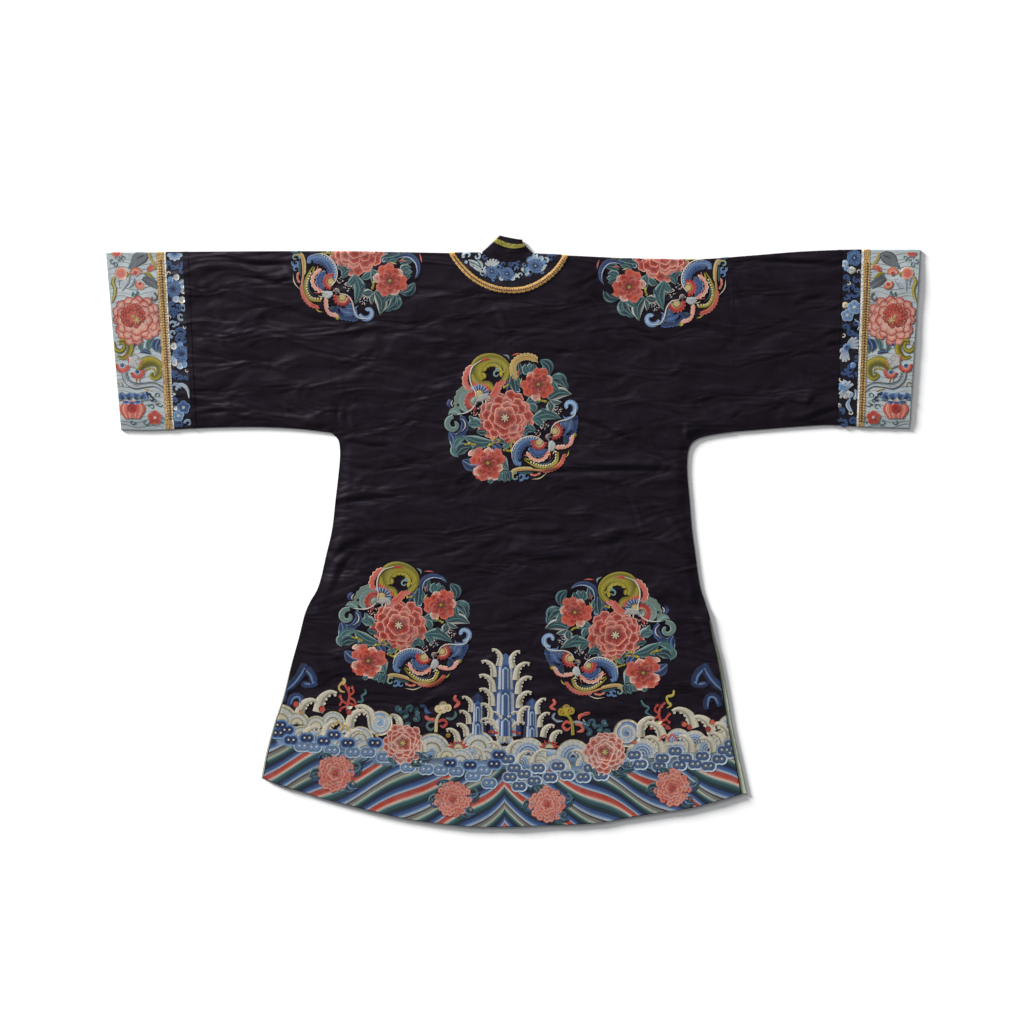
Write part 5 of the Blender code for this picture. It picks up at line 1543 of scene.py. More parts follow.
STRIPES = (
    (4.0, ("red", "coral", "coral")), (3.6, ("orange", "salmon", "blush")),
    (3.8, ("mint", "sea", "teal")), (4.2, ("teal", "ivy", "ivy")), (4.0, ("navy", "indigo", "blue")),
    (4.0, ("blue", "sky", "ice")), (3.4, ("brown", "brown", "grey")), (3.0, ("grey", "sage", "cream")),
    (3.8, ("mint", "sea", "teal")), (3.8, ("ivy", "ivy", "navy")), (4.0, ("navy", "indigo", "blue")),
    (3.2, ("blue", "sky", "ice")),
)


def standing_water(work):
    for side, first, gauge in (("left", 555.0, 1.0), ("right", 562.0, 0.965)):
        c = first
        while c < 838.0:
            for width, tones in STRIPES:
                stripe(work, side, c, c + width * gauge, tones)
                c += width * gauge


def scallop(work, x, y, r, kind="pale", turn=0.0, layer=1.0):
    """Rolling wave: nested arcs of cream, blue and grey lines."""
    lines = {"pale": ("sky", "ice", "slate", "ice", "sky"), "foam": ("sage", "cream", "grey", "ice",
                                                                     "sage"),
             "deep": ("navy", "indigo", "blue", "sky", "ice")}[kind]
    rings = [(0.0, lines[0])]
    for n, line in enumerate(lines):
        rings += [(0.1 + 0.18 * n, line), (0.2 + 0.18 * n, "ice" if kind == "deep" and n < 3 else "cream")]
    fan(work, x, y, 0.0, r, 175.0 + turn, 365.0 + turn, rings + [(1.0, "cream")], steps=18, rise=0.15,
        layer=layer)


def cloud(work, x, y, r=5.6, kind="left", layer=3.0):
    """Cloud head: a double-lobed oval, its shades nested, with two white knots."""
    rings = {
        "left": ((0.0, "navy"), (0.3, "navy"), (0.58, "indigo"), (0.7, "blue"), (0.85, "sky"),
                 (1.0, "sky")),
        "faint": ((0.0, "blue"), (0.4, "sky"), (0.6, "slate"), (0.78, "sky"), (0.88, "ice"), (1.0, "ice")),
        "right": ((0.0, "slate"), (0.35, "slate"), (0.5, "blue"), (0.66, "indigo"), (0.78, "ice"),
                  (1.0, "ice")),
    }[kind]
    for dx in (-0.42, 0.42):
        fan(work, x + dx * r, y, 0.0, r, 0.0, 360.0, rings, steps=16, rise=0.15, layer=layer)
    inner = rings[:3]
    fan(work, x, y, 0.0, 0.62 * r, 0.0, 360.0, inner, steps=12, rise=0.1, layer=layer + 0.6)
    for dx in (-0.42, 0.42):
        fan(work, x + dx * r, y - 0.1 * r, 0.0, 0.19 * r, 0.0, 360.0, (((0.0, "white"), (1.0, "white"))),
            steps=6, rise=0.2, layer=layer + 1.6)


def crest(work, x0, y0, x1, y1, width, bend, teeth=4, layer=2.0):
    """Foam crest: a fat cream claw with small round teeth down its inner edge."""
    dx, dy = x1 - x0, y1 - y0
    side = 1.0 if bend < 0.0 else -1.0
    path = np.array(((x0, y0), (x0 + 0.55 * dx - bend * dy, y0 + 0.55 * dy + bend * dx), (x1, y1),
                     (x1 - 0.24 * side * dy + 0.1 * dx, y1 + 0.24 * side * dx + 0.1 * dy)))
    share = np.array((0.0, 0.42, 0.84, 1.0))
    for k in range(teeth):
        t = 0.3 + 0.66 * k / (teeth - 1.0)
        px, py = share_path(path, share, np.array((t - 0.03, t, t + 0.03)))
        ax, ay = px[2] - px[0], py[2] - py[0]
        off = side * width * (0.86 - 0.55 * t) / math.hypot(ax, ay)
        fan(work, px[1] - ay * off, py[1] + ax * off, 0.0, 0.24 * width, 0.0, 360.0,
            ((0.0, "cream"), (0.6, "cream"), (1.0, "white")), steps=7, rise=0.1, layer=layer + 0.4)
    strand(work, path, 1.15 * width, ("cream", "white", "cream", "grey", "cream") if side > 0 else
           ("cream", "grey", "cream", "white", "cream"), swell=(1.55, 1.3, 0.85, 0.35), steps=10,
           layer=layer)


def ribbon_bow(work, path, width, colour, light, layer=1.0):
    strand(work, path, width, (colour, colour, light, colour, colour), swell=(0.6, 1.0, 0.8, 1.0, 0.3),
           steps=4 * len(path), layer=layer)


def sceptre(work, x, y, foot_x, foot_y, head, shade, dark, lean):
    """Good-luck sceptre: a curled head on a bent stem."""
    strand(work, ((x, y + 2.0), (0.5 * (x + foot_x) + lean, 0.5 * (y + foot_y) - 2.0), (foot_x, foot_y)),
           3.6,
           (shade, head, shade), swell=(0.7, 0.9, 1.0), steps=10, layer=2.0)
    for dx, dy, r in ((-4.6, 0.6, 4.0), (4.6, -0.4, 4.0), (0.0, -2.8, 4.2), (0.0, 1.6, 3.6)):
        fan(work, x + dx, y + dy, 0.0, r, 0.0, 360.0, ((0.0, head), (0.6, head), (0.8, shade), (1.0, head)),
            steps=12, layer=2.4)
    for dx, turn in ((-4.2, 20.0), (4.2, 160.0)):
        curl(work, x + dx, y, 2.6, 0.9, turn, 0.9, (dark,), layer=4.4, steps=12)
    strand(work, ((x - 2.0, y - 3.6), (x + 1.0, y - 5.0), (x + 4.0, y - 3.6)), 1.6, (dark, "grey", dark),
           steps=6, layer=4.0)


def coral(work, x, y, flip):
    """Branching red coral."""
    for path, w in (
        (((0, 14), (0, 6), (2, -2), (0, -10)), 3.6), (((0, 6), (-5, 3), (-8, -2)), 3.0),
        (((1, 0), (6, 2), (8, 7)), 3.0), (((1, -2), (6, -6), (4, -11)), 2.6),
        (((0, 8), (-6, 10), (-8, 12)), 2.6),
        (((1, 5), (7, 8), (10, 12)), 2.8), (((-5, 3), (-8, 6)), 2.4), (((0, -8), (-3, -13)), 2.6),
    ):
        points = [(x + flip * a, y + b) for a, b in path]
        strand(work, points, w, ("red", "coral", "coral", "red", "rust"), swell=(1.0, 0.9, 0.8), steps=7,
               layer=1.0)
        fan(work, points[-1][0], points[-1][1], 0.0, 0.62 * w, 0.0, 360.0, ((0.0, "coral"), (1.0, "red")),
            steps=8,
            layer=1.4)


def scholar_rock(work, x, y, flip):
    """Pierced blue garden rock with pale inner lines."""
    for path, w, inner in (
        (((0, -20), (-3, -12), (-9, -3), (-19, 5)), 10.0, ((0, -16), (-4, -9), (-10, -1), (-18, 6))),
        (((2, -16), (7, -9), (10, -1)), 9.0, ((1, -14), (6, -8), (8, -1))),
        (((12, -1), (4, 1), (-3, 0)), 7.5, ((10, -2), (4, 0), (-1, -1))),
        (((-19, 4), (-21, 10), (-21, 16)), 8.0, ((-19, 6), (-21, 12))),
        (((-16, 22), (-12, 13), (-6, 12), (-2, 20), (-3, 25)), 7.5,
         ((-14, 20), (-11, 14), (-6, 13), (-4, 19), (-4, 23))),
    ):
        points = [(x + flip * a, y + b) for a, b in path]
        strand(work, points, w, ("navy", "indigo", "indigo", "navy", "navy"),
               swell=(0.8, 1.0, 0.9, 1.0, 0.7),
               steps=10, layer=0.6)
        for side in (1.0, -1.0):
            lobes_along(work, points, 2 + len(points), 0.32 * w, "indigo", "navy", "navy", side, layer=0.2)
        strand(work, [(x + flip * a, y + b) for a, b in inner], 2.3, ("blue", "sky", "blue"),
               swell=(0.6, 1.0, 1.0, 0.5), steps=9, rise=0.15, layer=2.2)
    for a, b in ((0, -13), (-8, 0), (-7, 17), (6, -1)):
        fan(work, x + flip * a, y + b, 0.0, 1.3, 0.0, 360.0, ((0.0, "black"), (1.0, "black")), steps=8,
            rise=0.1,
            layer=3.0)


def slab(work, x, foot, top, low, high, point, tones, layer):
    """Pointed panel of a mountain, its edges in one shade and its heart in another."""
    first = np.array([tone(tones[k]) for k in (0, 0, 1, 2, 1, 0, 0)])
    across = np.array((-1.0, -0.93, -0.5, 0.0, 0.5, 0.93, 1.0))

    def form(u, v):
        k = np.rint(u * 6).astype(int)
        wide = low + (high - low) * v
        px = x + across[k] * wide
        py = foot + (top + point * np.abs(across[k]) - foot) * v
        height = np.where((k == 0) | (k == 6) | (v > 0.999), 0.1, 0.4 + 0.16 * layer)
        return np.stack((px, py), axis=1), height, first[k], np.stack((py, across[k] * wide), axis=1)

    work.patch(6, 12, form)


def mountain(work, x, foot, peak, low, high, shades, tiers, layer=1.0):
    """Peak of nested pointed panels in blue and white."""
    slab(work, x, foot, peak, low, high, 0.75 * high, shades, layer)
    reach = foot - peak
    for k in range(tiers):
        top = peak + 6.0 + (reach - 6.0) * k / tiers
        foot_here = min(foot, top + (reach - 4.0) / tiers + 4.0)
        for n, look in enumerate((("white", "blue", "blue"), ("ice", "indigo", "blue"),
                                  ("blue", "indigo", "navy"),
                                  ("white", "sky", "ice"), ("sky", "indigo", "blue"))):
            grown = low + (high - low) * (foot - top) / reach
            wide = (0.74 - 0.135 * n) * grown
            if top + 1.7 * n > foot_here - 3.0 or wide < 0.6:
                continue
            slab(work, x, foot_here, top + 1.9 * n, wide * 1.08, wide, 0.95 * wide, look,
                 layer + 0.7 + 0.3 * n + 0.2 * k)


def spray(work, x, y, flip):
    """Sea-blue curling water plant."""
    for dx, dy, r, start in ((0, 0, 5.4, 200), (6, -7, 4.6, 150), (-6, -8, 4.2, 40), (11, 3, 4.6, 260),
                             (4, 9, 4.6, 90),
                             (-9, 3, 4.4, 170), (13, -6, 3.8, 60)):
        curl(work, x + flip * dx, y + dy, r, 0.8, start, 3.2, ("ivy", "teal", "indigo"), layer=1.2,
             steps=10)
        fan(work, x + flip * dx * 0.9, y + dy * 0.9, 0.0, 0.6 * r, 0.0, 360.0, ((0.0, "sea"), (1.0, "ivy")),
            lobes=5,
            depth=0.2, steps=15, layer=0.8)


work = Needlework()
work.lay(*HEM_CORNER, PHOTO_PIXEL, squash=-1.0)
standing_water(work)
border_water = finish_needlework(work, "hem_standing_water", limits=between_slits)

work = Needlework()
work.lay(*HEM_CORNER, PHOTO_PIXEL, squash=-1.0)
for side, x, y in (("left", 305, 684), ("right", 704, 684)):
    scholar_rock(work, x, y, 1.0 if side == "left" else -1.0)
mountain(work, 505.5, 736.0, 653.0, 16.0, 9.0, ("indigo", "blue", "blue"), 3)
mountain(work, 477.8, 734.0, 693.0, 9.0, 5.5, ("navy", "navy", "indigo"), 2)
mountain(work, 532.0, 737.0, 698.0, 9.0, 5.5, ("navy", "indigo", "blue"), 2)
strand(work, ((262, 734), (300, 739), (345, 748), (400, 757), (450, 760), (504, 758), (560, 762),
              (610, 766),
              (660, 760), (700, 753), (745, 738)), 25.0, ("ice", "sky", "slate", "sky", "slate"),
       swell=(1.0, 1.0), steps=60, rise=0.1, layer=0.2)
for x, y, r, kind in (
    (280, 722, 18, "foam"), (297, 724, 13, "foam"), (316, 727, 11.5, "foam"), (333, 723, 12, "pale"),
    (345, 733, 9, "pale"), (360, 740, 14, "pale"), (432, 751, 18, "pale"), (447, 757, 13, "foam"),
    (478, 748, 17, "pale"), (486, 758, 14, "pale"), (460, 762, 14, "pale"), (500, 760, 13, "foam"),
    (505, 743, 9, "deep"), (528, 755, 18, "deep"), (520, 764, 13, "deep"), (573, 757, 18, "deep"),
    (588, 765, 13, "deep"), (556, 769, 15, "deep"), (540, 765, 11, "foam"), (642, 754, 16, "deep"),
    (632, 763, 12, "deep"), (678, 741, 13, "deep"), (694, 743, 13, "deep"), (709, 750, 14, "deep"),
    (731, 728, 14, "deep"), (722, 742, 12, "foam"), (302, 738, 13, "foam"), (327, 738, 11, "foam"),
    (286, 737, 11, "foam"), (366, 752, 14, "pale"), (342, 745, 11, "pale"), (660, 757, 12, "pale"),
    (690, 757, 11, "foam"), (612, 768, 12, "deep"), (385, 752, 10, "pale"), (415, 760, 12, "pale"),
    (669, 750, 10, "foam"), (677, 753, 13, "deep"),
):
    scallop(work, x, y, r, kind, layer=1.0 + 0.02 * (y - 720.0))
for x, y, r, start, tones in ((380, 723, 12.5, -60, ("cream", "sky", "ice")),
                              (627, 733, 14, -120, ("cream", "blue", "ice"))):
    fan(work, x, y, 0.0, r, 0.0, 360.0, ((0.0, tones[1]), (0.5, "ice"), (0.8, tones[1]), (0.9, "cream"),
                                         (1.0, "cream")),
        steps=22, rise=0.15, layer=2.0)
    curl(work, x, y, 0.82 * r, 1.9 if x < 500 else -1.9, start, 1.9, ("cream", "white", "cream"), layer=3.4,
         steps=30,
         swell=(1.0, 0.9, 0.7))
for args in (
    (318, 712, 331, 692, 6.5, -0.18), (299, 714, 313, 700, 6.0, -0.2), (349, 727, 361, 711, 6.0, -0.2),
    (373, 724, 361, 706, 6.0, 0.2), (400, 728, 394, 715, 4.5, 0.2), (304, 740, 316, 727, 5.5, -0.2),
    (326, 738, 333, 722, 5.5, -0.2), (346, 744, 358, 730, 5.0, -0.2),
    (499, 666, 496, 650, 5.5, 0.2), (494, 677, 486, 661, 5.5, 0.2), (493, 692, 484, 675, 6.0, 0.2),
    (492, 706, 484, 689, 6.0, 0.2), (490, 720, 485, 704, 5.5, 0.2), (513, 668, 516, 652, 5.5, -0.2),
    (516, 680, 525, 663, 6.0, -0.2), (518, 694, 527, 677, 6.0, -0.2), (519, 708, 527, 692, 6.0, -0.2),
    (520, 722, 526, 707, 5.5, -0.2), (471, 712, 466, 697, 4.8, 0.2), (469, 724, 463, 711, 4.8, 0.2),
    (467, 736, 460, 724, 5.5, 0.2), (458, 742, 450, 729, 5.5, 0.2), (538, 714, 542, 699, 4.8, -0.2),
    (540, 727, 546, 713, 4.8, -0.2), (543, 737, 551, 725, 5.5, -0.2), (552, 742, 559, 731, 5.5, -0.2),
    (500, 738, 489, 722, 5.5, 0.2), (509, 738, 520, 722, 5.5, -0.2), (497, 729, 483, 719, 4.5, 0.25),
    (504, 742, 498, 713, 5.0, 0.1), (505, 742, 511, 713, 5.0, -0.1), (501, 752, 491, 742, 5.0, 0.2),
    (694, 728, 678, 709, 6.5, 0.2), (712, 732, 696, 717, 6.0, 0.2), (640, 737, 649, 718, 6.0, -0.2),
    (663, 738, 649, 723, 6.0, 0.2), (662, 754, 650, 737, 6.0, 0.2), (691, 752, 683, 736, 6.0, 0.2),
    (714, 752, 704, 738, 5.5, 0.2), (731, 738, 716, 724, 6.5, 0.2), (724, 748, 712, 733, 5.5, 0.2),
    (508, 757, 519, 741, 6.0, -0.2), (517, 766, 528, 751, 5.5, -0.2), (533, 763, 543, 750, 5.5, -0.2),
    (484, 760, 474, 746, 5.0, 0.2), (425, 752, 417, 740, 4.5, 0.2), (586, 762, 575, 750, 5.0, 0.2),
):
    if 455 < args[0] < 556:
        args = args[:4] + (0.74 * args[4], args[5])
    crest(work, *args, layer=2.4)
for x, y, r, shade in (
    (296, 704, 3.4, "coral"), (322, 709, 3.4, "coral"), (301, 712, 2.2, "gold"), (712, 722, 3.0, "orange"),
    (708, 729, 3.0, "red"), (684, 724, 3.0, "orange"), (689, 727, 2.8, "red"), (448, 735, 2.8, "olive"),
    (377, 735, 2.2, "butter"), (634, 742, 2.4, "orange"), (349, 712, 3.0, "red"), (667, 727, 2.6, "red"),
):
    fan(work, x, y, 0.0, r, 0.0, 360.0, ((0.0, shade), (0.6, shade), (1.0, "rust")), steps=12, layer=3.2)
for x, y, r in ((491, 733, 3.6), (496, 734, 3.2), (513, 733, 3.4), (518, 734, 3.0)):
    fan(work, x, y, 0.0, r, 180.0, 360.0, ((0.0, "red"), (1.0, "coral")), lobes=2, depth=0.2, steps=8,
        layer=3.0)
for x, y, up in ((458, 748, -1.0), (549, 748, -1.0)):
    for k in range(7):
        a = math.radians(-165.0 + 25.0 * k)
        strand(work, ((x + 5.0 * math.cos(a), y + 3.0 * math.sin(a)),
                      (x + 11.5 * math.cos(a), y + 9.0 * math.sin(a))), 3.2,
               ("red", "coral", "red"), swell=(1.0, 0.7, 0.0), steps=5, layer=3.0)
    fan(work, x, y, 0.0, 6.0, 180.0, 360.0, ((0.0, "gold"), (0.5, "cream"), (1.0, "ivy")), steps=12,
        layer=3.4)
for x, y in ((338, 724), (345, 728), (672, 737), (664, 738)):
    strand(work, ((x - 5.0, y + 3.0), (x, y - 3.0), (x + 5.0, y + 3.0)), 2.4,
           ("gold", "butter", "gold") if x < 500 else
           ("coral", "salmon", "coral"), swell=(0.9, 1.0, 0.9), steps=8, layer=3.2)
coral(work, 348, 698, 1.0)
coral(work, 661, 716, -1.0)
fan(work, 349.5, 706.0, 0.0, 3.2, 0.0, 180.0, ((0.0, "white"), (1.0, "cream")), steps=8, layer=3.2)
fan(work, 659.0, 721.0, 0.0, 3.0, 0.0, 180.0, ((0.0, "butter"), (1.0, "cream")), steps=8, layer=3.2)
ribbon_bow(work, ((344, 680), (341, 684), (339, 687), (341, 691), (345, 692)), 2.6, "gold", "butter")
ribbon_bow(work, ((343, 678), (345, 681), (343, 685)), 3.0, "butter", "butter")
ribbon_bow(work, ((357, 702), (363, 701), (362, 696), (366, 693), (365, 689)), 2.8, "teal", "sea")
ribbon_bow(work, ((674, 690), (673, 695), (667, 697), (668, 702), (671, 705), (667, 708)), 3.0, "yellow",
           "butter")
ribbon_bow(work, ((641, 700), (644, 705), (649, 708), (646, 712), (652, 716)), 2.8, "teal", "sea")
sceptre(work, 443, 708, 436, 732, "cream", "butter", "gold", -2.0)
ribbon_bow(work, ((420, 706), (425, 707), (427, 712), (431, 713)), 4.2, "indigo", "blue")
ribbon_bow(work, ((425, 716), (429, 719), (434, 720), (437, 722)), 4.2, "coral", "salmon")
ribbon_bow(work, ((437, 722), (430, 722), (427, 726), (431, 730), (435, 727)), 3.4, "teal", "sage")
ribbon_bow(work, ((438, 722), (444, 720), (447, 723), (443, 727), (440, 725)), 3.4, "red", "coral")
ribbon_bow(work, ((446, 718), (452, 719), (456, 715), (455, 711)), 3.4, "teal", "sage")
ribbon_bow(work, ((456, 695), (455, 699), (459, 703), (454, 708)), 4.0, "coral", "salmon")
sceptre(work, 566, 711, 573, 735, "yellow", "olive", "red", 2.0)
ribbon_bow(work, ((553, 699), (555, 703), (551, 707), (556, 710)), 3.4, "coral", "salmon")
ribbon_bow(work, ((555, 713), (553, 717), (557, 721), (563, 721)), 3.4, "slate", "ice")
ribbon_bow(work, ((590, 713), (585, 714), (580, 716), (579, 720)), 3.8, "salmon", "coral")
ribbon_bow(work, ((573, 724), (566, 722), (563, 726), (567, 730), (571, 727)), 3.4, "coral", "salmon")
ribbon_bow(work, ((575, 724), (581, 725), (583, 730), (577, 732)), 3.4, "salmon", "coral")
ribbon_bow(work, ((573, 722), (579, 722), (585, 724), (583, 719)), 3.0, "grey", "ice")
spray(work, 405, 716, 1.0)
spray(work, 599, 730, -1.0)
border_waves = finish_needlework(work, "hem_waves_and_mountains", limits=between_slits)

work = Needlework()
work.lay(*HEM_CORNER, PHOTO_PIXEL, squash=-1.0)
for x, y, kind in (
    (302, 746, "faint"), (314, 747, "faint"), (332, 750, "faint"), (353, 752, "faint"), (368, 752, "faint"),
    (384, 757, "faint"), (280, 725, "left"), (287, 730, "left"), (278, 733, "left"), (291, 740, "left"),
    (307, 738, "left"), (324, 741, "left"), (334, 735, "left"), (348, 743, "left"), (375, 743, "left"),
    (418, 762, "faint"), (408, 767, "faint"), (426, 769, "faint"), (441, 770, "faint"), (450, 763, "left"),
    (456, 771, "faint"), (470, 765, "left"), (473, 776, "faint"), (484, 770, "faint"), (494, 764, "left"),
    (499, 755, "left"), (489, 783, "faint"), (508, 759, "right"), (514, 768, "right"), (510, 777, "right"),
    (524, 774, "right"), (538, 768, "right"), (519, 786, "right"), (534, 781, "right"), (550, 777, "right"),
    (558, 766, "right"), (567, 775, "right"), (583, 777, "right"), (590, 768, "right"), (601, 775, "right"),
    (634, 755, "right"), (640, 764, "right"), (659, 766, "right"), (662, 758, "right"), (675, 751, "right"),
    (679, 765, "right"), (685, 758, "right"), (695, 764, "right"), (702, 756, "right"), (708, 766, "right"),
    (719, 759, "right"), (724, 750, "right"), (731, 744, "right"), (732, 753, "right"),
):
    cloud(work, x, y, 6.0, kind, layer=3.0 + 0.01 * (760 - y))
for x, y, r, body, rim, heart in (
    (403, 743, 19.5, "salmon", "blush", "rust"), (605, 752, 20.5, "salmon", "blush", "rust"),
    (335, 773, 18.0, "pink", "coral", "red"), (453, 799, 17.5, "pink", "coral", "red"),
    (547, 804, 17.5, "pink", "coral", "red"), (672, 788, 18.0, "pink", "coral", "red"),
):
    plant = ((-1, 0.2), (0.9, 0.75), (-0.55, -0.95), (1.05, -0.35)) if y > 770 else ((1.0, 0.7),
            (-0.3, 1.0), (0.7, 1.0))
    for n, (a, b) in enumerate(plant):
        px, py = x + a * 1.1 * r, y + b * 0.85 * r
        leaf(work, x + a * 0.6 * r, y + b * 0.5 * r, px + a * 0.35 * r, py + b * 0.3 * r, 0.5 * r,
             ("dark", "navy")[n % 2], bend=0.25, layer=3.6)
        curl(work, px, py, 0.32 * r, 0.85, 90.0 * n, 0.13 * r, ("teal", "sea", "ivy") if n % 2 else ("navy",
                "blue", "navy"),
             layer=4.0, steps=12)
        leaf(work, px, py, px - b * 0.45 * r, py + a * 0.4 * r, 0.3 * r, "dark", bend=-0.2, layer=3.8)
    peony(work, x, y, r, body=body, rim=rim, heart=heart, turn=11.0 * r, rings=4, layer=4.0,
          centre="coral" if y > 770 else "butter")
border_clouds = finish_needlework(work, "hem_clouds_and_peonies", limits=between_slits)
cloth_pieces["left"] += [border_water, border_waves, border_clouds]
for side, (body, points) in body_cloth.items():
    declare_cloth(body, points, 0.46, "laid", cloth_pieces[side], length=2.08)

# Cuff embroidery
# The pale facing carries butterflies, a peony, a pomegranate and small scrolls; the black ribbon
# carries blue and white flowers and scrolls. Both facings have the same design, mirrored.
# Its layout is in pixels of enlarged views of the photo, across and down.
CUFF_PIXEL = 0.2296
CUFF_TOP = 523.8


def blossom(work, x, y, r, petals, body, rim, heart, middle, layer=1.0):
    """Small open flower of round petals about a knot."""
    for n in range(petals):
        a = math.radians(360.0 * n / petals - 90.0)
        fan(work, x + 0.5 * r * math.cos(a), y + 0.5 * r * math.sin(a), 0.0, 0.5 * r, 0.0, 360.0,
            ((0.0, heart), (0.4, body), (0.75, body), (0.9, rim), (1.0, rim)), steps=12, layer=layer)
    fan(work, x, y, 0.0, 0.24 * r, 0.0, 360.0, ((0.0, middle), (0.6, middle), (1.0, rim)), steps=10,
        layer=layer + 1.4)


def tendril(work, path, width, colour, light, layer=0.6):
    """Fine scrolling stem in two shades."""
    strand(work, path, width, (colour, light, colour), swell=(0.5, 1.0, 1.0, 0.4), steps=4 * len(path),
           layer=layer)


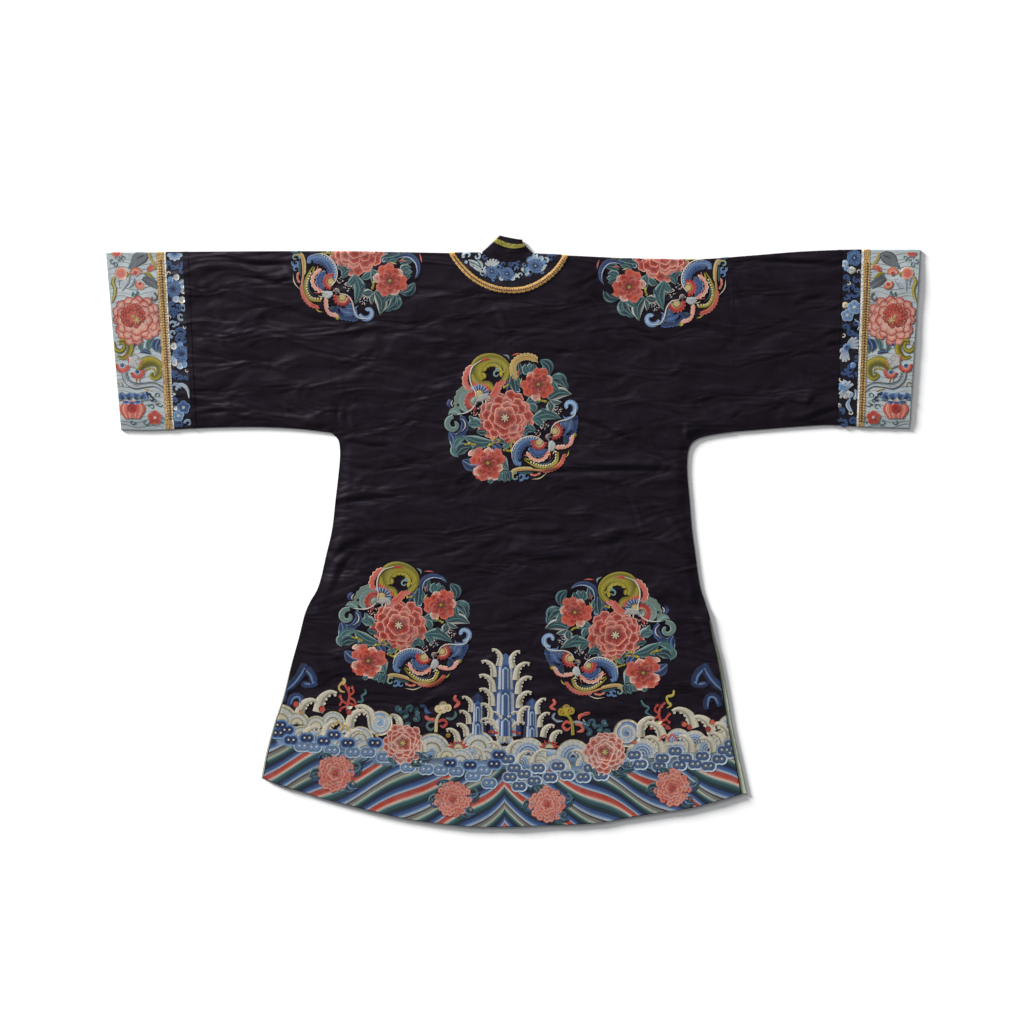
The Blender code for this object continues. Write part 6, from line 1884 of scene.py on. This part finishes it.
def cuff_garden(work):
    """Butterflies, peony and pomegranate of the pale facing, over fine wavy ground lines."""
    for n in range(36):
        y, bow = 112.0 + 38.5 * n, 11.0 * math.sin(1.9 * n)
        strand(work, ((62 + 8 * (n % 3), y), (170, y - 14 + bow), (290, y + 9), (410, y - 12 - bow),
                      (500, y + 7)), 6.5,
               (mixed("white", "slate", 0.2 + 0.16 * (n % 4)),), swell=(0.4, 1.0, 0.7, 1.0, 0.4), steps=14,
               rise=0.03,
               layer=-1.6)
    fan(work, 130, 98, 0.0, 42, 0.0, 180.0, ((0.0, "gold"), (0.3, "coral"), (0.8, "salmon"), (1.0, "pink")),
        lobes=4,
        depth=0.14, steps=16)
    for x, y, r, start in ((95, 165, 24, 20), (140, 150, 26, 200), (185, 140, 22, 100),
                           (118, 195, 20, 300)):
        curl(work, x, y, r, 0.9, start, 9, ("slate", "sea", "slate"), steps=14)
    for path, w in ((((232, 205), (262, 170), (282, 128), (340, 108), (372, 118)), 50),
                    (((262, 215), (300, 175), (345, 150), (368, 122)), 56)):
        strand(work, path, w, ("slate", "grey", "slate"), ("brown", "slate", "grey"),
               swell=(0.4, 1.0, 1.0, 0.6), steps=16)
    lobes_along(work, ((225, 215), (250, 190), (255, 155), (285, 130), (330, 105)), 8, 17, "grey", "slate",
                "brown", 1.0)
    strand(work, ((385, 100), (398, 150), (425, 185), (432, 225), (405, 210)), 26,
           ("olive", "butter", "olive", "butter", "yellow"), swell=(0.8, 1.0, 1.0, 0.4), steps=16,
           layer=0.6)
    fan(work, 165, 262, 0.0, 52, 0.0, 360.0, ((0.0, "salmon"), (0.5, "salmon"), (0.85, "pink"),
                                              (1.0, "blush")), lobes=9,
        depth=0.12, steps=30, layer=0.4)
    strand(work, ((205, 250), (222, 270), (205, 296)), 24, ("olive", "yellow", "ivy"), steps=8, layer=1.4)
    for x, y, r, facing in ((282, 262, 52, -95.0), (318, 345, 46, 120.0)):
        fan(work, x, y, 0.35 * r, r, facing - 95.0, facing + 95.0,
            ((0.0, "coral"), (0.3, "pink"), (0.7, "orange"), (1.0, "gold")),
            lobes=11, depth=0.16, steps=33, layer=0.8)
        fan(work, x, y, 0.0, 0.4 * r, 0.0, 360.0, ((0.0, "red"), (0.6, "coral"), (1.0, "pink")), layer=1.8)
    fan(work, 412, 235, 0.0, 46, 150.0, 345.0, ((0.0, "salmon"), (0.7, "coral"), (1.0, "pink")), lobes=5,
        depth=0.16,
        steps=20, layer=0.8)
    strand(work, ((335, 258), (372, 262), (410, 290), (436, 302)), 30, ("olive", "yellow", "moss"),
           steps=12, layer=1.2)
    strand(work, ((335, 300), (372, 318), (415, 345), (450, 375)), 66, ("slate", "brown", "slate"),
           ("grey", "slate", "grey"),
           swell=(0.5, 1.0, 0.9, 0.3), steps=14, layer=0.5)
    lobes_along(work, ((355, 280), (410, 318), (455, 352)), 6, 20, "grey", "slate", "brown", -1.0,
                layer=0.3)
    curl(work, 418, 452, 36, 0.85, -80, 17, ("slate", "brown", "grey"), layer=0.6)
    strand(work, ((240, 262), (200, 330), (172, 400)), 62, ("ice", "white", "ice"), ("sky", "ice", "white"),
           steps=12)
    strand(work, ((272, 300), (248, 350), (225, 375)), 24, ("white", "ice", "grey"), steps=8, layer=1.0)
    strand(work, ((118, 285), (100, 330), (118, 380), (112, 440), (92, 490)), 32,
           ("olive", "yellow", "butter", "olive", "moss"), swell=(0.5, 1.0, 0.9, 0.8, 0.3), steps=16,
           layer=0.8)
    strand(work, ((98, 290), (140, 300), (150, 360)), 14, ("grey", "ice", "grey"), steps=8, layer=0.4)
    for x, y in ((250, 425), (285, 415), (270, 440), (440, 520)):
        leaf(work, x, y + 16, x + 6, y - 20, 24, "mist", bend=0.2)
    peony(work, 290, 628, 192, body=mixed("salmon", "pink", 0.45), rim="red", heart="blush", turn=10.0,
          rings=3,
          centre="butter", layer=1.0)
    peony(work, 262, 600, 92, body="coral", rim="rust", heart="salmon", turn=30.0, rings=3, centre="butter",
          layer=3.6)
    for args in ((300, 760, 262, 845, 60, "navy"), (330, 770, 330, 880, 44, "mist"),
                 (420, 760, 378, 880, 50, "mist"),
                 (468, 775, 446, 880, 74, "navy"), (400, 890, 310, 880, 34, "navy"),
                 (490, 820, 470, 890, 40, "mist")):
        leaf(work, *args, bend=0.15, layer=0.4)
    strand(work, ((110, 800), (118, 852), (160, 872), (190, 845), (180, 808), (150, 812)), 38,
           ("moss", "olive", "yellow", "olive", "moss"), swell=(0.5, 1.0, 1.0, 0.7, 0.4), steps=22,
           layer=0.6)
    strand(work, ((150, 792), (205, 790), (238, 830), (225, 890), (180, 925), (140, 910)), 52,
           ("olive", "yellow", "olive", "moss", "olive"), swell=(0.5, 1.0, 1.1, 0.8, 0.4), steps=22,
           layer=0.8)
    strand(work, ((300, 1030), (330, 975), (400, 950), (462, 980), (470, 1045), (432, 1082), (398, 1062),
                  (415, 1038)), 76,
           ("olive", "yellow", "olive", "moss", "olive"), swell=(0.6, 1.0, 1.1, 0.9, 0.8, 0.6, 0.3),
           steps=30, layer=0.8)
    lobes_along(work, ((330, 1050), (378, 1012), (420, 1016), (428, 1048)), 5, 14, "olive", "yellow",
                "moss", -1.0)
    for x, y, r, facing in ((178, 985, 60, 95.0), (296, 1035, 58, 75.0)):
        fan(work, x, y, 0.3 * r, r, facing - 100.0, facing + 100.0,
            ((0.0, "pink"), (0.35, "salmon"), (0.7, "coral"), (1.0, "red")),
            lobes=9, depth=0.16, steps=27, layer=1.2)
        fan(work, x, y, 0.0, 0.34 * r, 0.0, 360.0, ((0.0, "indigo"), (0.6, "blue"), (1.0, "ice")),
            layer=2.4)
    for x, y, r in ((240, 935, 30), (275, 925, 30), (262, 965, 34), (300, 955, 26), (240, 968, 22),
                    (282, 985, 22)):
        fan(work, x, y, 0.0, r, 0.0, 360.0, ((0.0, "ice"), (0.5, "white"), (0.8, "grey"), (1.0, "white")),
            lobes=5, depth=0.1,
            steps=20, layer=1.6)
    strand(work, ((205, 890), (222, 930), (225, 975)), 20, ("salmon", "coral", "salmon"), steps=8,
           layer=1.8)
    strand(work, ((330, 1000), (318, 965), (345, 940)), 22, ("coral", "salmon", "gold"), steps=8, layer=1.8)
    for n, shade in enumerate(("slate", "white", "ice", "grey", "slate")):
        d = 11.0 * n
        strand(work, ((168 + d, 1030 + 0.2 * d), (190 + 0.9 * d, 1110 - 0.4 * d), (268 + 0.3 * d, 1166 - d),
                      (352, 1156 - 0.8 * d),
                      (430, 1150 - 0.7 * d), (505, 1198 - d)), 8, (shade,), swell=(0.6, 1.0, 1.0, 0.7),
                      steps=22, rise=0.2)
    for x0, y0, x1, y1 in ((300, 1075, 312, 1122), (280, 1080, 282, 1118)):
        strand(work, ((x0, y0), (x1, y1)), 16, ("pink", "butter", "pink"), steps=5, layer=0.6)
    for x0, y0, x1, y1 in ((345, 1168, 410, 1186), (150, 1110, 178, 1152)):
        tendril(work, ((x0, y0), (0.5 * (x0 + x1), y0 + 4), (x1, y1)), 9, "gold", "butter")
    for n in range(9):
        t = (n - 4) / 4.0
        strand(work, ((256 + 54 * t, 1262), (256 + 88 * t, 1322), (256 + 48 * t, 1398)), 32,
               ("blush" if n % 2 else "salmon", "pink" if n % 2 else "coral", "salmon"),
               swell=(0.5, 1.0, 0.8), steps=9,
               layer=1.0 + 0.35 * (4 - abs(n - 4)))
    fan(work, 256, 1322, 0.0, 40, 0.0, 360.0, ((0.0, "rust"), (0.4, "red"), (0.8, "red"), (1.0, "coral")),
        steps=16, layer=3.4)
    for x, y, turn in ((190, 1225, -150.0), (232, 1235, -110.0), (278, 1235, -75.0), (318, 1222, -30.0)):
        petal(work, x, y + 18, 56, turn, 50.0, 0.0, "sky", "blue", "navy", layer=2.6)
    for x, y in ((208, 1262), (254, 1270), (300, 1262)):
        fan(work, x, y, 0.0, 27, 0.0, 180.0, ((0.0, "indigo"), (0.6, "blue"), (1.0, "sky")), steps=10,
            layer=3.0)
    for x, y, r, start in ((388, 1218, 24, 120), (402, 1250, 22, 260), (372, 1200, 16, 30)):
        curl(work, x, y, r, 0.85, start, 15, ("navy", "indigo", "navy"), steps=14, layer=0.8)
    for x, y, r, start in ((455, 1218, 24, 160), (468, 1285, 24, 20), (428, 1262, 18, 240),
                           (405, 1310, 26, 190),
                           (492, 1405, 28, 90), (360, 1425, 30, 10), (130, 1455, 22, 200),
                           (335, 1245, 18, 60),
                           (255, 1425, 26, 0), (140, 1130, 20, 90)):
        curl(work, x, y, r, 0.85, start, 9, ("sea", "teal", "sea"), steps=14)
    fan(work, 448, 1290, 0.0, 9, 0.0, 360.0, ((0.0, "red"), (1.0, "rust")), steps=8, layer=0.8)
    fan(work, 335, 1215, 0.0, 20, 0.0, 360.0, ((0.0, "orange"), (0.5, "salmon"), (1.0, "blush")), lobes=6,
        depth=0.2,
        steps=18, layer=0.8)
    blossom(work, 430, 1392, 58, 5, "coral", "salmon", "red", "white")


def ribbon_garden(work):
    """Blue and white flowers and scrolls of the black ribbon."""
    fan(work, 585, 100, 0.0, 66, 5.0, 175.0, ((0.0, "navy"), (0.25, "blue"), (0.45, "sky"), (0.85, "ice"),
                                              (1.0, "sky")), lobes=5,
        depth=0.16, steps=20, layer=0.4)
    for x, y, r, start, w in (
        (545, 195, 26, 120, 17), (622, 205, 26, -60, 18), (578, 225, 18, 200, 14), (640, 245, 16, 20, 12),
        (570, 510, 32, 60, 20), (612, 545, 26, 240, 18), (548, 560, 22, 0, 14), (600, 590, 20, 120, 14),
        (640, 735, 36, 200, 22), (662, 775, 26, 20, 18), (620, 770, 22, 100, 14), (600, 1050, 24, 90, 18),
        (682, 1075, 26, -80, 18), (632, 1085, 20, 200, 14), (575, 1030, 18, 0, 12),
        (628, 1448, 24, 200, 18),
        (596, 1435, 22, 20, 16), (590, 1265, 24, 160, 18),
    ):
        curl(work, x, y, 1.25 * r, 0.85, start, 1.5 * w, ("indigo", "blue", "indigo"), steps=14)
        leaf(work, x + 0.3 * r, y, x - 0.9 * r, y + 1.1 * r, 0.6 * r, "navy", bend=0.3, layer=0.1)
    for x, y, r, start, w in (
        (650, 540, 26, -120, 15), (638, 600, 26, 60, 15), (575, 668, 26, -160, 15), (576, 735, 28, 100, 16),
        (600, 650, 18, 0, 12), (694, 1438, 26, 180, 16), (590, 1155, 24, 160, 14), (570, 1195, 22, 20, 12),
    ):
        curl(work, x, y, 1.2 * r, 0.85, start, 1.4 * w, ("sky", "ice", "slate"), steps=14, layer=0.4)
    for x, y, start in ((545, 265, 150), (548, 610, 160), (662, 680, -30), (680, 1020, -20),
                        (582, 1215, 120)):
        curl(work, x, y, 21, 0.7, start, 12, ("white", "cream", "white"), steps=12, layer=0.8)
    for x, y, petals in (
        (572, 382, ((598, 292, 22, "white"), (642, 345, 30, "ice"), (640, 470, 24, "white"),
                    (595, 462, 24, "ice"),
                    (548, 312, 24, "sky"), (655, 400, 20, "white"))),
        (642, 892, ((576, 832, 24, "white"), (572, 935, 30, "ice"), (628, 985, 24, "ice"),
                    (625, 822, 24, "sky"),
                    (660, 975, 22, "sky"), (585, 965, 20, "white"))),
    ):
        for px, py, r, shade in petals:
            fan(work, px, py, 0.0, 1.25 * r, 0.0, 360.0, ((0.0, "sky"), (0.5, shade), (1.0, shade)),
                lobes=3, depth=0.12,
                steps=15, layer=0.4)
        peony(work, x, y, 64, body="blue", rim="sky", heart="navy", turn=15.0, rings=3, centre="indigo",
              layer=0.8)
    strand(work, ((600, 1180), (618, 1140), (655, 1140), (690, 1180), (700, 1240)), 30,
           ("ice", "sky", "ice"),
           ("white", "ice", "white"), swell=(0.6, 1.0, 1.0, 0.7, 0.3), steps=16, layer=0.4)
    strand(work, ((575, 1120), (605, 1130), (640, 1170)), 26, ("sky", "ice", "slate"), steps=9, layer=0.3)
    blossom(work, 655, 1312, 54, 5, "blue", "sky", "navy", "cream", layer=0.8)
    blossom(work, 614, 1376, 48, 5, "sky", "ice", "blue", "cream", layer=1.2)
    fan(work, 590, 1318, 0.0, 20, 0.0, 360.0, ((0.0, "white"), (1.0, "ice")), lobes=3, depth=0.15, steps=12,
        layer=0.8)


def other_ribbon_garden(work):
    """The ribbon of the other cuff: the same kinds of flower and scroll, cut from another length."""
    peony(work, 580, 142, 58, body="blue", rim="sky", heart="navy", turn=15.0, rings=3, centre="ice",
          layer=0.8)
    for x, y, r, shade in ((652, 188, 26, "ice"), (640, 222, 20, "sky"), (598, 238, 26, "white"),
                           (622, 232, 18, "ice"),
                           (650, 512, 22, "cream"), (680, 1150, 28, "sky"), (652, 1128, 24, "ice"),
                           (640, 1210, 32, "white"),
                           (612, 1215, 24, "ice"), (660, 1180, 26, "sky"), (700, 1300, 18, "white"),
                           (590, 985, 22, "sky")):
        fan(work, x, y, 0.0, 1.2 * r, 0.0, 360.0, ((0.0, "blue"), (0.4, shade), (1.0, shade)), lobes=3,
            depth=0.14,
            steps=15, layer=0.4)
    for x, y, r, start, w in (
        (648, 300, 34, 120, 22), (560, 312, 28, -60, 20), (568, 402, 50, 30, 26), (645, 385, 32, 200, 22),
        (636, 442, 28, 20, 20), (600, 360, 24, 90, 18), (650, 690, 36, 120, 24), (562, 660, 26, 240, 18),
        (605, 722, 30, 0, 22), (572, 752, 24, 120, 18), (566, 925, 30, 60, 22), (612, 1002, 26, 200, 20),
        (650, 1025, 34, 20, 24), (608, 1062, 26, 240, 20), (570, 1052, 20, 90, 16),
        (682, 1335, 30, 100, 20),
        (660, 1425, 32, 40, 24), (592, 1425, 32, 200, 24), (690, 1405, 20, 0, 16), (560, 540, 18, 160, 14),
    ):
        curl(work, x, y, r, 0.85, start, w, ("indigo", "blue", "indigo"), steps=14)
        leaf(work, x + 0.3 * r, y, x - 0.9 * r, y + 1.1 * r, 0.6 * r, "navy", bend=0.3, layer=0.1)
    for x, y, r, start in ((548, 252, 24, 150), (620, 336, 18, 30), (672, 1096, 26, -30),
                           (665, 745, 20, 60), (602, 1352, 20, 0)):
        curl(work, x, y, r, 0.7, start, 12, ("white", "cream", "white"), steps=12, layer=0.8)
    for path, w in ((((552, 632), (538, 668), (552, 706)), 16), (((578, 620), (560, 640), (548, 642)), 14),
                    (((612, 1245), (632, 1290), (606, 1345)), 34),
                    (((575, 1170), (562, 1215), (580, 1250)), 30)):
        strand(work, path, w, ("sky", "ice", "blue"), ("white", "ice", "sky"), swell=(0.4, 1.0, 0.7),
               steps=10, layer=0.6)
    blossom(work, 580, 530, 58, 5, "sky", "ice", "blue", "cream", layer=1.0)
    blossom(work, 634, 592, 52, 5, "sky", "ice", "blue", "cream", layer=1.4)
    for x, y, tips in ((640, 842, ((562, 768), (545, 790), (540, 820), (550, 848), (590, 765), (700, 880),
                                   (690, 935),
                                   (668, 955), (645, 955), (622, 942))),
                       (640, 1180, ((700, 1210), (690, 1240), (590, 1130), (612, 1108)))):
        for n, (tx, ty) in enumerate(tips):
            strand(work, ((x, y), (0.5 * (x + tx) + 4, 0.5 * (y + ty) - 4), (tx, ty)), 24,
                   ("blue", "sky", "blue"),
                   ("white", "ice", "white"), swell=(0.4, 1.0, 0.8), steps=7, layer=0.8 + 0.1 * n)
    fan(work, 640, 842, 0.0, 30, 0.0, 360.0, ((0.0, "navy"), (0.5, "blue"), (1.0, "sky")), lobes=7,
        depth=0.14, steps=21,
        layer=2.2)


# Dots of the cuff braid, by the braid's middle at its top and foot
BRAID_MIDDLE = {"left": ((-633.9, 489.0), (-616.6, 200.0)), "right": ((638.0, 484.0), (626.2, 196.0))}
cuff_pieces = {}


def band_limits(side, near, far):
    """Edges of one cuff band, as a function of how far down the cuff a stitch lies."""
    ends = {name: (top, low) for name, top, low in CUFF_BANDS[side]}

    def limits(y):
        t = np.clip((496.0 - y) / 316.0, 0.0, 1.0)
        lines = [ends[name][0] + (ends[name][1] - ends[name][0]) * t for name in (near, far)]
        return np.minimum(*lines) + 0.8, np.maximum(*lines) - 0.8

    return limits


for side in ("left", "right"):
    origin = -743.4 if side == "left" else 747.4
    ribbon = ribbon_garden if side == "left" else other_ribbon_garden
    for name, garden in (("cuff_embroidery_", cuff_garden), ("ribbon_embroidery_", ribbon)):
        work = Needlework()
        work.lay(origin, CUFF_TOP, CUFF_PIXEL, mirror=side == "right", squash=-1.0)
        garden(work)
        slot = "grey_blue_silk" if garden is cuff_garden else "embroidered_ribbon"
        near, far = ("braid", "facing") if garden is cuff_garden else ("piping", "band")
        cuff_pieces[name + side] = finish_needlework(work, name + side, cut_at_fold=True,
                                                     limits=band_limits(side, near, far))
    work = Needlework()
    (x0, y0), (x1, y1) = BRAID_MIDDLE[side]
    for k in range(60):
        t = (k + 0.5) / 60.0
        x, y = x0 + (x1 - x0) * t, y0 + (y1 - y0) * t
        fan(work, x, y, 0.0, 1.9, 0.0, 360.0, ((0.0, ("rust", "ivy")[k % 2]), (0.6, ("rust", "ivy")[k % 2]),
                                               (1.0, "ochre")),
            steps=7, rise=0.1)
        for edge in (-4.6, 4.6):
            fan(work, x + edge, y, 0.0, 1.3, 0.0, 360.0, ((0.0, "butter"), (1.0, "gold")), steps=6,
                rise=0.15)
    dots = finish_needlework(work, "braid_dots_" + side, 0.5 * CLOTH + 0.35)
    declare_cloth(*cuff_cloth["band", side], "laid",
                  cuff_trims[side] + [cuff_pieces["ribbon_embroidery_" + side], dots])
    declare_cloth(*cuff_cloth["facing", side], "laid", [cuff_pieces["cuff_embroidery_" + side]])

# Neck embroidery
# Blue and white flowers fill the inner part of the black round, and brown stitches run down
# the middle of its gold gimp braid. Its layout is in pixels of an enlarged view of the photo.
NECK_PIXEL = 0.2526
NECK_CORNER = (-203.4, 559.8)
work = Needlework()
work.lay(*NECK_CORNER, NECK_PIXEL, squash=-1.0)
for x, y, r, start, w, light in (
    (482, 255, 34, 150, 26, True), (548, 262, 26, -60, 18, True), (606, 262, 22, 30, 18, False),
    (592, 376, 22, 100, 9, True),
    (820, 330, 26, 200, 16, False), (790, 312, 20, 20, 14, False), (740, 320, 24, 90, 18, False),
    (690, 300, 16, 200, 12, False),
    (862, 395, 22, 120, 14, True), (1068, 265, 24, 40, 18, False), (1100, 262, 18, 160, 14, False),
    (850, 305, 18, 90, 12, False),
):
    curl(work, x, y, r, 0.8, start, w, ("sky", "ice", "white") if light else ("indigo", "blue", "indigo"),
         steps=14)
for x0, y0, x1, y1, w, kind in (
    (500, 290, 560, 330, 40, "pale"), (530, 300, 590, 350, 34, "pale"), (560, 285, 585, 345, 30, "mist"),
    (700, 350, 740, 410, 46, "navy"), (735, 350, 745, 400, 30, "navy"), (790, 370, 835, 400, 34, "navy"),
    (880, 340, 905, 380, 26, "mist"), (1010, 310, 1050, 300, 30, "navy"), (640, 400, 700, 415, 26, "navy"),
    (900, 395, 945, 385, 22, "navy"),
):
    leaf(work, x0, y0, x1, y1, w, kind, layer=0.3)
for path in (((488, 288), (520, 296), (566, 322)), ((498, 312), (540, 326), (580, 352)),
             ((522, 338), (556, 356), (596, 372)),
             ((556, 290), (580, 312), (588, 350)), ((982, 352), (1012, 348), (1046, 322)),
             ((992, 372), (1016, 356), (1036, 340)),
             ((612, 330), (602, 352), (612, 384)), ((1030, 268), (1056, 282), (1048, 306))):
    strand(work, path, 20, ("white", "ice", "mint"), ("ice", "white", "ice"), swell=(0.4, 1.0, 0.6),
           steps=8, layer=0.7)
for x, y, r, start in ((628, 305, 16, 30), (705, 340, 18, 210), (722, 362, 16, 90), (836, 350, 18, 150),
                       (884, 318, 16, 10),
                       (668, 424, 14, 60), (604, 402, 14, 180), (1012, 372, 14, 0)):
    curl(work, x, y, r, 0.8, start, 11, ("blue", "sky", "blue"), steps=12, layer=0.5)
for n in range(6):
    a = math.radians(-150.0 + 22.0 * n)
    strand(work, ((660, 340), (660 + 62 * math.cos(a), 340 + 62 * math.sin(a))), 19,
           ("white", "ice", "white"),
           ("white", "white", "ice"), swell=(0.4, 1.0, 0.7), steps=6, layer=0.8 + 0.1 * n)
for x, y, r, body, rim in ((655, 368, 46, "blue", "sky"), (762, 385, 46, "blue", "sky"),
                           (966, 328, 54, "blue", "sky")):
    peony(work, x, y, r, body=body, rim=rim, heart="navy", turn=20.0, rings=3, centre="ice", layer=1.0)
for x, y, r, shade in ((925, 285, 26, "sky"), (960, 268, 26, "ice"), (1000, 280, 26, "ice"),
                       (1022, 305, 22, "sky"),
                       (875, 352, 15, "white"), (722, 415, 20, "ice"), (800, 412, 22, "ice"),
                       (826, 396, 15, "white"),
                       (905, 352, 20, "sky"), (905, 385, 18, "ice"), (470, 300, 12, "ice")):
    fan(work, x, y, 0.0, r, 0.0, 360.0, ((0.0, "sky"), (0.5, shade), (1.0, shade)), lobes=3, depth=0.12,
        steps=15, layer=0.6)
neck_flowers = finish_needlework(work, "neck_embroidery", TRIM_LIFT + 0.5, cut_at_fold=True)

path = neck_path()
path = path[path[:, 3] > 4.0]
edge = place(path[:, 2], path[:, 3], 0.0)
walk = np.concatenate(([0.0], np.cumsum(np.hypot(*np.diff(edge[:, :2], axis=0).T))))
work = Needlework()
for spot in np.arange(2.0, walk[-1] - 1.0, 4.3):
    x, y = (float(np.interp(spot, walk, edge[:, c])) for c in (0, 1))
    fan(work, x, y, 0.0, 1.5, 0.0, 360.0, ((0.0, "brown"), (0.5, "brown"), (1.0, "rust")), steps=7,
        rise=0.1)
neck_dots = finish_needlework(work, "neck_braid_stitches", TRIM_LIFT + 0.85)
declare_cloth(round_piece, round_points, 0.045, "laid", [braid_piece, neck_flowers, neck_dots])
